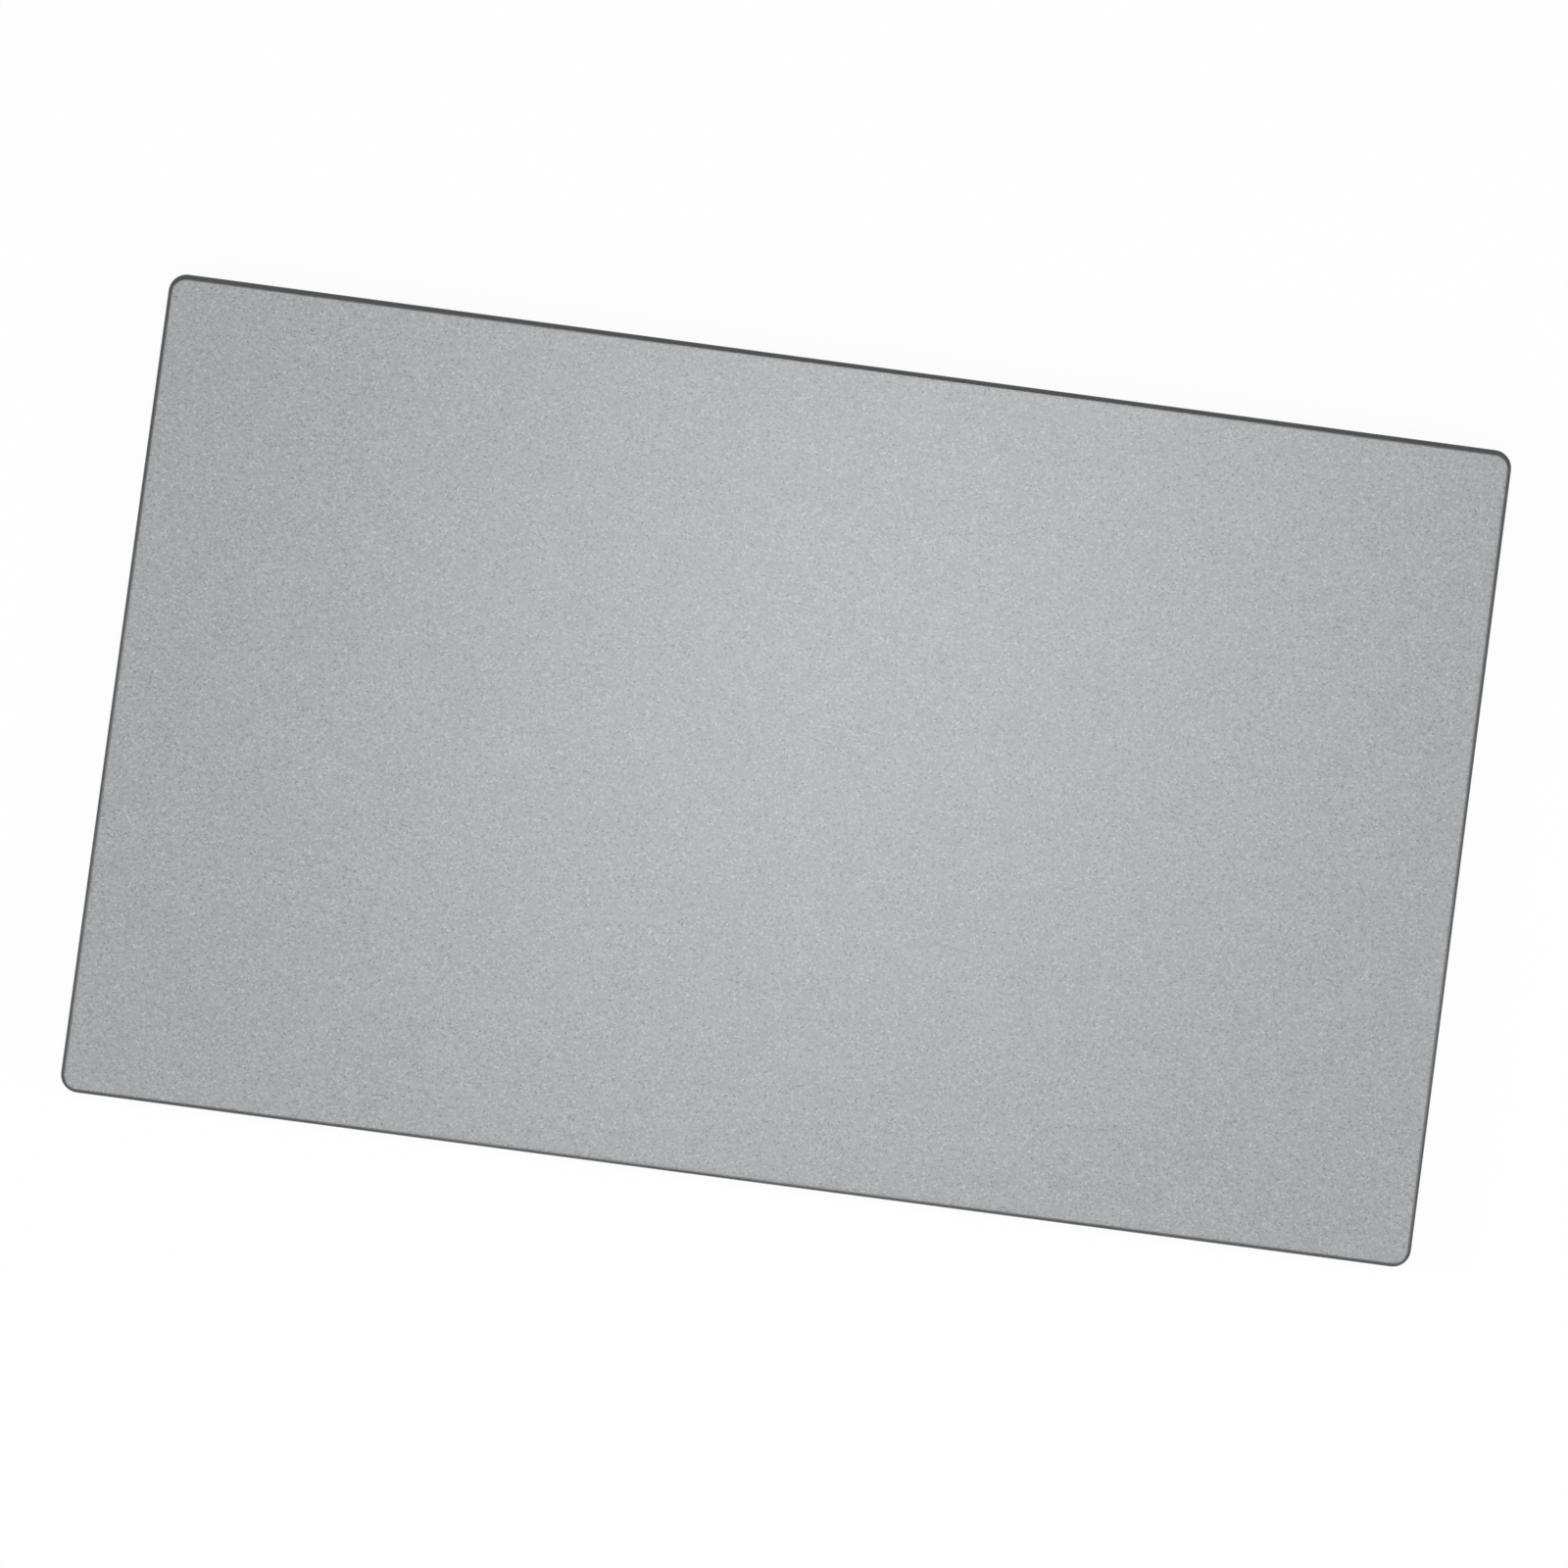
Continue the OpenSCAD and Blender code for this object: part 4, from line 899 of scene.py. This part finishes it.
film_finish = amber_film()
foil_finish = sheet_metal("copper_foil", (0.78, 0.44, 0.27), 0.3, ALONG_X, 0.15, 0.01)
patch_plan = rounded_outline(gauge_high[0] - gauge_low[0], 2 * patch_half, PATCH_R, 1)[0]
patch_rims = [patch_plan + (gauge_x, spring_y)]
patch = pierced_sheet(patch_rims, gauge_low[2], gauge_low[2] + FILM_THICK, FILM_STEP)
foil = blocks(*foil_lines())
tail = film(tail_route(), (1, 0, 0), TAIL_WIDTH, FILM_THICK)
arm_bend = (rail_edge, 0), (tip_x + BOSS_R, 0)
tail_bend = (0, spring_y - ARM_HALF + TAIL_HELD), (0, gauge_low[1] + TAIL_LAND)
for name, (side, end) in CORNERS.items():
    for ending, drawn, finish, (held, free) in (
        ("_gauge_film", patch, film_finish, arm_bend),
        ("_gauge_foil", foil, foil_finish, arm_bend),
        ("_gauge_tail", tail, film_finish, tail_bend),
    ):
        shape = at_corner(drawn, side, end)
        piece = make_piece(name + ending, shape, finish, node=name + "_gauge")
        start, stop = ((side * x, end * y, 0) for x, y in (held, free))
        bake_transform(piece)

# %% [markdown]
# ## Bumpers, foam and bonding sheet
# Soft pieces keep the glass from clattering: a silicone stop beside each spring, a sheet of foam under
# the motor's plate, and the adhesive that bonds the glass to its board. A stop is a profile spun round
# an axis, a little domed and waisted as moulded rubber is. The sheets are stacked rings whose sides
# belly out where they are squeezed.

# %% Silicone stops
STOP_STEPS = 48
SHOULDER_R, SHOULDER_DROP = 0.36 * MM, 0.42 * MM
DOME_RISE = 0.05 * MM
FOOT_HEIGHT, WAIST_HEIGHT = 0.12 * MM, 0.3 * MM


def silicone():
    """Dark moulded rubber: soft sheen, a little dust and a fine orange-peel."""
    finish = Finish("dark_silicone", {"IOR": 1.42, "Sheen Weight": 0.2})
    dust = finish.noise(0.7, 4)
    colour = finish.mix(dust, (0.016, 0.016, 0.018), (0.045, 0.045, 0.047))
    return finish.skin(colour, 0.55 + 0.25 * (dust - 0.5), finish.noise(0.12, 2), 0.006)


def stop_shape(node):
    """A silicone stop: rings of a moulded profile, with foot, waist, round shoulder and low dome."""
    low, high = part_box(node)
    radius, height = (high.x - low.x) / 2, high.z - low.z
    circle = unit_circle(STOP_STEPS)
    foot = [(0.6 * radius, 0), (0, 0), (0, FOOT_HEIGHT)]
    waist = [(0.05 * radius, WAIST_HEIGHT), (0.06 * radius, 0.55 * height)]
    shoulder = arc((0.26 * radius, height - SHOULDER_DROP), SHOULDER_R, 180, 90)
    inset = np.linspace(0.3, 0.98, 6)
    dome = np.column_stack([inset * radius, height - DOME_RISE * (1 - inset) ** 2])
    profile = np.concatenate([foot, waist, shoulder, dome]) + (0, low.z)
    points, faces = stacked_rings(radius * circle, circle, profile)
    return points + np.array([(low.x + high.x) / 2, (low.y + high.y) / 2, 0]), faces


silicone_finish = silicone()
for name in CORNERS:
    node = name + "_bumper"
    make_piece(node + "_stop", stop_shape(node), silicone_finish, "mount", node)

# %% Foam and bonding sheet


def squeezed_sheet(node, radius, belly):
    """A soft sheet in a node's box: its sides belly out by `belly` between the two faces."""
    low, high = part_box(node)
    lift = np.linspace(0, np.pi, 7)
    sides = np.column_stack([belly * (1 - np.sin(lift)), low.z + (high.z - low.z) * (1 - np.cos(lift)) / 2])
    profile = [(0.6 * radius, low.z), *sides, (0.6 * radius, high.z)]
    return stacked_rings(*rounded_outline(high.x - low.x, high.y - low.y, radius), profile)


def foam():
    """Closed-cell foam: dark, matt and pitted with small pores."""
    finish = Finish("closed_cell_foam", {"IOR": 1.4})
    pore = finish.cells(0.09)
    shade = finish.noise(1.5)
    colour = finish.mix(0.6 * pore + 0.4 * shade, (0.03, 0.03, 0.032), (0.09, 0.09, 0.092))
    return finish.skin(colour, 0.85 + 0.1 * (shade - 0.5), pore, 0.02)


def adhesive():
    """Grey bonding film: milky, with a slight weave of its carrier."""
    finish = Finish("bonding_adhesive", {"IOR": 1.47, "Subsurface Weight": 0.1})
    x, y, z = finish.axes()
    carrier = finish.math("SINE", 14 * x) * finish.math("SINE", 14 * y)
    colour = finish.mix(finish.noise(3.0), (0.3, 0.31, 0.31), (0.45, 0.45, 0.44))
    return finish.skin(colour, 0.42 + 0.08 * carrier)


foam_shape = squeezed_sheet("motor_pad", 1.5 * MM, 0.1 * MM)
foam_sheet = make_piece("motor_foam", foam_shape, foam(), "pad", "motor_pad")
bond_shape = squeezed_sheet("bonding_sheet", 1.0 * MM, 0.04 * MM)
make_piece("bonding_layer", bond_shape, adhesive(), "pad", "bonding_sheet")

# %% [markdown]
# ## Circuit board
# The board is glass-fibre laminate under a black solder mask. Copper runs under the mask as bundles of
# tracks, which show as slightly raised, slightly lighter lines. The pattern splits the board into
# square cells and draws its lines along x, along y or not at all in each, as a router does. The sawn
# edge shows the bare laminate.

# %% Board finish
PLOT_SIZE = 7.0
TRACK_PITCH = 0.5
POUR_PITCH = 1.2
VIA_PITCH = 1.5


def solder_mask():
    """Black mask over copper tracks; bare laminate where the surface faces sideways."""
    finish = Finish("black_solder_mask", {"IOR": 1.52})
    x, y, z = finish.axes()
    pick = finish.cells(PLOT_SIZE, "CHEBYCHEV", 0.75)
    lines_x, lines_y = (1 - finish.ease(from_line(axis, TRACK_PITCH), 0.07, 0.1) for axis in (y, x))
    pour = 1 - finish.ease(from_line(x + y, POUR_PITCH), 0.05, 0.09)
    first, last = pick < 0.34, pick > 0.72
    copper = first * lines_x + (1 - first) * (1 - last) * lines_y + last * (1 - pour)
    off_x, off_y = (from_line(axis, VIA_PITCH) for axis in (x, y))
    via = 1 - finish.ease((off_x * off_x + off_y * off_y) ** 0.5, 0.16, 0.2)
    holes = via * (finish.cells(VIA_PITCH) > 0.72)
    normal = finish.out("ShaderNodeNewGeometry", None, "Normal")
    facing = abs(Value(finish, finish.out("ShaderNodeSeparateXYZ", {0: normal}, 2)))
    edge = 1 - finish.ease(facing, 0.4, 0.6)
    mask = finish.mix(0.8 * copper, (0.008, 0.01, 0.012), (0.03, 0.034, 0.036))
    fibre = finish.noise(0.25, stretch=(0.15, 0.15, 1.5))
    laminate = finish.mix(fibre, (0.1, 0.09, 0.055), (0.22, 0.2, 0.13))
    printed = finish.mix(holes, mask, (0.09, 0.08, 0.05))
    rough = 0.32 + 0.12 * (finish.noise(2.5) - 0.5) + 0.35 * edge
    return finish.skin(finish.mix(edge, printed, laminate), rough, 0.6 * copper + holes, 0.015)


solder_mask().wear(nodes["sensor_board"])

# %% [markdown]
# ## Solder, pads and marks
# A populated board is recognised by its solder. Every terminal stands in a bright fillet, chips show a
# fringe of pads, each boss has a gold ring, test points line up in rows, and white corner marks frame
# the chips. These are too fine for the solids, so they are laid on the board here as many small blocks
# and discs in a few meshes.

# %% Solder


def solder():
    """Reflowed tin: bright, slightly dimpled, dulled by flux in places."""
    finish = Finish("reflowed_solder", {"Metallic": 1.0})
    flux = finish.noise(0.3)
    colour = finish.mix(flux, (0.5, 0.5, 0.48), (0.75, 0.75, 0.74))
    return finish.skin(colour, 0.2 + 0.3 * flux, finish.noise(0.15, 2), 0.01, 0.05)


def under_board(middle, half, drop):
    """Low and high corners of blocks round places in the board's plan, from `drop` below it up to it."""
    foot = np.column_stack([middle - half, np.broadcast_to(board_under - drop, len(middle))])
    return foot, np.column_stack([middle + half, np.full(len(middle), board_under)])


def join(pairs):
    """Several arrays of low and high corners as one pair."""
    return [np.concatenate(part) for part in zip(*pairs)]


solder_finish = solder()

# %% Terminal solder
CAP_SHARE = 0.2
FILLET_RISE = 0.6


def terminal_fillets(name, spread):
    """Solder at both ends of each two-terminal part in a node: a block round the end cap, along the
    part's longer side, lower than the part."""
    low, high = solids_of(name)
    middle, size, tall = (low + high)[:, :2] / 2, (high - low)[:, :2], (high - low)[:, 2]
    step = np.where(size[:, :1] > size[:, 1:], (1, 0), (0, 1))
    length = (size * step).sum(axis=1, keepdims=True)
    cap = length * CAP_SHARE
    half = size / 2 * (1 - step) + step * cap / 2 + spread * (0.25 + 0.75 * step)
    away = step * (length - cap) / 2
    return join(under_board(middle + sign * away, half, FILLET_RISE * tall) for sign in (-1, 1))


fillets = join([
    terminal_fillets("board_capacitors", 0.22 * MM),
    terminal_fillets("board_resistors", 0.18 * MM),
])
make_piece("terminal_solder", blocks(*fillets, 0.12 * MM), solder_finish, "pad")

# %% Chip solder
PAD_PROUD = 0.03 * MM


def chip_fringe(name, per_side, pad=(0.3, 0.3), sides=(0, 1), pin=0.2):
    """Solder round a chip's terminals: a row along each side, half under the body and half in view.

    The chip's box reaches `pin` past the body on each side that has terminals."""
    low, high = np.array(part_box(name))[:, :2]
    for axis in sides:
        low[1 - axis] += pin * MM
        high[1 - axis] -= pin * MM
    rows = []
    for axis in sides:
        order = [axis, 1 - axis]
        spots = np.linspace(low[axis], high[axis], per_side + 2)[1:-1]
        half = np.array([pad[0] / 2, pad[1]])[order] * MM
        for edge in (low[1 - axis], high[1 - axis]):
            middle = np.column_stack([spots, np.full(per_side, edge)])[:, order]
            rows.append(under_board(middle, half, 3 * PAD_PROUD))
    return join(rows)


fringe = join([
    chip_fringe("touch_controller", 16),
    chip_fringe("system_controller", 12),
    chip_fringe("motor_driver", 7, (0.28, 0.28)),
    chip_fringe("memory_chip", 4, (0.4, 0.35), (0,)),
    chip_fringe("clock_crystal", 2, (0.7, 0.3), (0,), 0),
])
make_piece("chip_solder", blocks(*fringe, 0.03 * MM), solder_finish, "pad")

# %% Tail solder


def tail_joints():
    """Solder bumps where the four gauge tails and the motor's lead end on the board."""
    spots = gauge_x + (np.arange(4) - 1.5) * 0.6 * MM
    tails = [(side * x, end * gauge_low[1]) for side in (-1, 1) for end in (-1, 1) for x in spots]
    flex_low, flex_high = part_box("motor_flex")
    lead = [(x, flex_low.y) for x in np.linspace(flex_low.x, flex_high.x, 8)[1:-1]]
    return under_board(np.array(tails + lead), np.array([0.2, 0.45]) * MM, FILM_THICK + 2 * PAD_PROUD)


make_piece("tail_solder", blocks(*tail_joints(), 0.06 * MM), solder_finish, "pad")

# %% Gold rings and test points
RING_R, TEST_R = 3.0 * MM, 0.55 * MM
TEST_COLUMNS, TEST_ROWS = (-33, -31, -29, 29, 31, 33), (-30.4, -28.2, -26)
TEST_LINE, TEST_LINE_ROW = np.arange(-15, 16, 3), -22.5
gilt = sheet_metal("immersion_gold", (0.86, 0.64, 0.3), 0.3, EVEN, 0.2, 0.02)
boss_spots = [(side * tip_x, end * spring_y) for side, end in CORNERS.values()]
boss_rings = discs(boss_spots, RING_R, PAD_PROUD, BOSS_R - 0.1 * MM)
make_piece("boss_rings", boss_rings, gilt, "pad")
columns, rows = np.meshgrid(TEST_COLUMNS, TEST_ROWS)
line_rows = np.full(len(TEST_LINE), TEST_LINE_ROW)
test_spots = np.column_stack([np.append(columns, TEST_LINE), np.append(rows, line_rows)]) * MM
make_piece("test_points", discs(test_spots, TEST_R, PAD_PROUD), gilt, "pad")

# %% White marks
MARKED = ("touch_controller", "system_controller", "motor_driver", "gauge_converter")
MARK_GAP, MARK_LENGTH, MARK_LINE = 0.45 * MM, 1.0 * MM, 0.14 * MM


def corner_marks():
    """Short white L marks just outside the four corners of each chip."""
    boxes = np.array([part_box(name) for name in MARKED])[..., None, :2]
    low, high = boxes[:, 0], boxes[:, 1]
    signs = np.array([[-1, -1], [1, -1], [1, 1], [-1, 1]])
    tips = (low + high) / 2 + signs * ((high - low) / 2 + MARK_GAP)
    arms = np.array([[MARK_LENGTH, MARK_LINE], [MARK_LINE, MARK_LENGTH]])
    middles = [(tips - signs * arm / 2).reshape(-1, 2) for arm in arms]
    return join(under_board(middle, arm / 2, 0.6 * PAD_PROUD) for middle, arm in zip(middles, arms))


def white_ink():
    """Screen-printed ink: off-white, matt and a little uneven."""
    finish = Finish("white_board_ink", {"IOR": 1.45})
    uneven = finish.noise(0.25)
    return finish.skin(finish.mix(uneven, (0.5, 0.5, 0.48), (0.74, 0.74, 0.71)), 0.6 + 0.2 * (uneven - 0.5))


make_piece("chip_marks", blocks(*corner_marks()), white_ink(), "pad")

# %% [markdown]
# ## Chips and small parts
# Chip bodies are black epoxy full of silica, which gives them a fine sparkle and a soft, uneven gloss.
# They sit on a thin substrate, so the finish turns to it near the board. The two-terminal parts are
# rounded blocks: a ceramic body between two tinned caps, set down wherever the solids have one.

# %% Chip finishes
SUBSTRATE = 0.25
LEG_REACH = 1.0


def epoxy(finish):
    """Black epoxy with a sparkle of silica."""
    return finish.mix(finish.cells(0.06) ** 6, (0.014, 0.014, 0.015), (0.09, 0.09, 0.095))


def moulded_chip():
    """Black epoxy above, dark green substrate within a quarter millimetre of the board."""
    finish = Finish("black_chip_epoxy", {"IOR": 1.55})
    x, y, z = finish.axes()
    base = z > board_under / MM - SUBSTRATE
    colour = finish.mix(base, epoxy(finish), (0.02, 0.045, 0.025))
    return finish.skin(colour, 0.44 + 0.2 * (finish.noise(1.2, 4) - 0.5), finish.noise(0.1), 0.008, 0.05)


def leaded_chip():
    """Epoxy body with tinned legs: the legs are what lies outside the body's front and back faces."""
    finish = Finish("leaded_chip", {"IOR": 1.55})
    low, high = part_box("gauge_converter")
    x, y, z = finish.axes()
    middle, half = (low.y + high.y) / 2 / MM, (high.y - low.y) / 2 / MM - LEG_REACH
    legs = abs(y - middle) > half
    shade = finish.noise(0.3)
    tin = finish.mix(shade, (0.5, 0.5, 0.48), (0.72, 0.72, 0.7))
    finish.feed("Metallic", legs)
    rough = 0.44 - 0.16 * legs + 0.15 * (shade - 0.5)
    return finish.skin(finish.mix(legs, epoxy(finish), tin), rough, finish.noise(0.1), 0.006, 0.04)


moulded = ("touch_controller", "system_controller", "motor_driver", "memory_chip")
moulded_chip().wear(*(nodes[name] for name in moulded))
leaded_chip().wear(nodes["gauge_converter"])

# %% Two-terminal parts
TAN = ((0.3, 0.2, 0.12), (0.42, 0.3, 0.19))
GLAZE = ((0.01, 0.01, 0.012), (0.03, 0.03, 0.034))


def fired_ceramic(name, dark, light):
    """Grainy ceramic, and tinned metal where the mesh says that it is a cap."""
    finish = Finish(name, {"IOR": 1.6})
    cap = finish.attribute("cap")
    grain = finish.noise(0.15)
    tin = finish.mix(grain, (0.5, 0.5, 0.48), (0.74, 0.74, 0.72))
    finish.feed("Metallic", cap)
    colour = finish.mix(cap, finish.mix(grain, dark, light), tin)
    return finish.skin(colour, 0.5 - 0.2 * cap + 0.15 * (grain - 0.5), grain, 0.006)


def soft_block(size, radius):
    """A box with rounded edges, centred on the origin: rings of its plan, drawn in along a quarter
    circle below and another above."""
    turn = np.radians(np.linspace(0, 90, 5))
    inset, drop = radius * (1 - np.sin(turn)), radius * (1 - np.cos(turn))
    below = np.column_stack([inset, drop - size[2] / 2])
    profile = np.concatenate([below, (below * (1, -1))[::-1]])
    return stacked_rings(*rounded_outline(size[0], size[1], 1.5 * radius, 2), profile)


def small_parts(name, node, slot, dark, light):
    """Every two-terminal part of a node: a body and two caps a fifth of its length, a little larger.

    Parts of one size and direction share their three blocks. Each point carries 1 on a cap and 0 on
    the body."""
    low, high = solids_of(node)
    sizes, group = np.unique(np.round((high - low) / MM, 3) * MM, axis=0, return_inverse=True)
    shapes = []
    for number, size in enumerate(sizes):
        centres = ((low + high) / 2)[group.ravel() == number]
        along = np.array([1, 0, 0]) if size[0] > size[1] else np.array([0, 1, 0])
        length, step = size @ along, size[2] / 12
        cap = size * (1 - along) + along * length / 5
        body = size - 2 * step * (1 - along) - along * length / 5
        ends = np.concatenate([centres - 0.4 * length * along, centres + 0.4 * length * along])
        shapes.append(repeated(soft_block(cap, 1.2 * step), ends))
        shapes.append(repeated(soft_block(body, 0.8 * step), centres))
    finish = fired_ceramic(name + "_finish", dark, light)
    piece = make_piece(name, merged(shapes), finish, "pad", node)
    counts = [len(points) for points, faces in shapes]
    carry(piece, "cap", np.repeat([1, 0] * len(sizes), counts))


small_parts("ceramic_capacitors", "board_capacitors", "capacitor_ceramic", *TAN)
small_parts("chip_resistors", "board_resistors", "resistor_ceramic", *GLAZE)

# %% Crystal


def crystal_can():
    """Plated lid on a ceramic base: bright metal below, pale ceramic by the board."""
    finish = Finish("crystal_lid", {})
    x, y, z = finish.axes()
    base = z > board_under / MM - SUBSTRATE
    brushed = finish.noise(0.2, stretch=(0.2, 1.5, 1.5))
    lid = finish.mix(brushed, (0.52, 0.5, 0.46), (0.74, 0.71, 0.66))
    finish.feed("Metallic", 1 - base)
    rough = 0.26 + 0.2 * (brushed - 0.5) + 0.3 * base
    return finish.skin(finish.mix(base, lid, (0.32, 0.27, 0.22)), rough, brushed, 0.004, 0.06)


crystal_can().wear(nodes["clock_crystal"])

# %% [markdown]
# ## Ribbon socket
# The socket is moulded from glass-filled plastic, so it is matt with short pale fibres, and its latch
# is a darker one. Both keep their solids and get a moulded skin: fibres, a little flow marking and
# soft edges.

# %% Socket finishes


def moulded_plastic(name, dark, light, rough):
    """Glass-filled moulding: short fibres as stretched noise, flow marks and soft edges."""
    finish = Finish(name, {"IOR": 1.58})
    fibre = finish.noise(0.12, stretch=(0.35, 1, 1))
    flow = finish.noise(1.6)
    colour = finish.mix(0.5 * fibre + 0.5 * flow, dark, light)
    return finish.skin(colour, rough + 0.2 * (flow - 0.5), fibre, 0.008, 0.06)


moulded_plastic("ivory_socket", (0.56, 0.5, 0.4), (0.7, 0.65, 0.55), 0.5).wear(nodes["socket_housing"])
moulded_plastic("dark_latch", (0.02, 0.018, 0.017), (0.055, 0.05, 0.047), 0.48).wear(nodes["socket_latch"])

# %% [markdown]
# ## Haptic motor
# Inside the can a weight with two magnets hangs between folded springs over a flat coil. The coil is
# self-bonding wire, so its finish draws rings that follow its rounded outline. The folded springs are
# strips carried along a U: one leg is welded to the can and the other to the weight. The motor's lead
# is the same amber film as the gauges' tails.

# %% Coil
COIL_CORNER = 4.0
WIRE_PITCH = 0.12


def wound_coil():
    """Enamelled copper wire: rings at a steady distance from the coil's rounded outline."""
    finish = Finish("wound_copper", {"Metallic": 1.0, "Coat Weight": 0.4, "Coat Roughness": 0.2})
    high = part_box("motor_coil")[1]
    out_x, out_y = (finish.math("MAXIMUM", abs(axis) - (half / MM - COIL_CORNER), 0)
                    for axis, half in zip(finish.axes(), high.xy))
    distance = finish.math("SQRT", out_x * out_x + out_y * out_y)
    turn = 0.5 + 0.5 * finish.math("SINE", 2 * math.pi / WIRE_PITCH * distance)
    tarnish = finish.noise(1.5)
    colour = finish.mix(0.5 * turn + 0.5 * tarnish, (0.42, 0.17, 0.07), (0.8, 0.42, 0.22))
    return finish.skin(colour, 0.3 + 0.15 * (tarnish - 0.5), turn, 0.04)


wound_coil().wear(nodes["motor_coil"])

# %% Folded springs
FOLD_THICK = 0.2 * MM
LEG_STEPS = 12


def fold_route(low, high):
    """Centre line of the right folded spring: up the weight's side, half round, and down the can's."""
    middle, level = (low.x + high.x) / 2, (low.z + high.z) / 2
    radius = (high.x - low.x - FOLD_THICK) / 2
    bend = high.y - (high.x - low.x) / 2
    legs = np.linspace(low.y, bend, LEG_STEPS, endpoint=False)
    left = np.column_stack([np.full(LEG_STEPS, middle - radius), legs])
    right = np.column_stack([np.full(LEG_STEPS, middle + radius), legs[::-1]])
    plan = np.concatenate([left, arc((middle, bend), radius, 180, 0, 2 * ARC_STEPS), right])
    return np.column_stack([plan, np.full(len(plan), level)])


fold_low, fold_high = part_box("right_mass_spring")
points, faces = film(fold_route(fold_low, fold_high), (0, 0, 1), fold_high.z - fold_low.z, FOLD_THICK)
for node, sign in (("right_mass_spring", 1), ("left_mass_spring", -1)):
    shape = points * (sign, sign, 1), faces
    fold = make_piece(node.replace("mass", "folded"), shape, spring_finish, node=node)
    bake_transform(fold)

# %% Motor lead
LEAD_SLOPE = 1.4 * MM
LEAD_STEPS = 15


def lead_route(low, high):
    """The motor's lead: flat on the plate, a smooth rise past the can and flat on the board."""
    bottom, top = low.z + FILM_THICK / 2, high.z - FILM_THICK / 2
    land = low.y + TAIL_LAND
    y = np.concatenate([[high.y], np.linspace(land + LEAD_SLOPE, land, LEAD_STEPS), [low.y]])
    share = np.clip((land + LEAD_SLOPE - y) / LEAD_SLOPE, 0, 1)
    z = bottom + (top - bottom) * share * share * (3 - 2 * share)
    return np.column_stack([np.zeros(len(y)), y, z])


flex_low, flex_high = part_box("motor_flex")
lead = film(lead_route(flex_low, flex_high), (1, 0, 0), flex_high.x - flex_low.x, FILM_THICK)
make_piece("motor_lead", lead, film_finish, "pad", "motor_flex")

# %% [markdown]
# ## Sizes
# The dressed model has to fill the same box as the solids, so that either can stand for the other. A
# render would hide a piece that sticks out by a tenth of a millimetre.
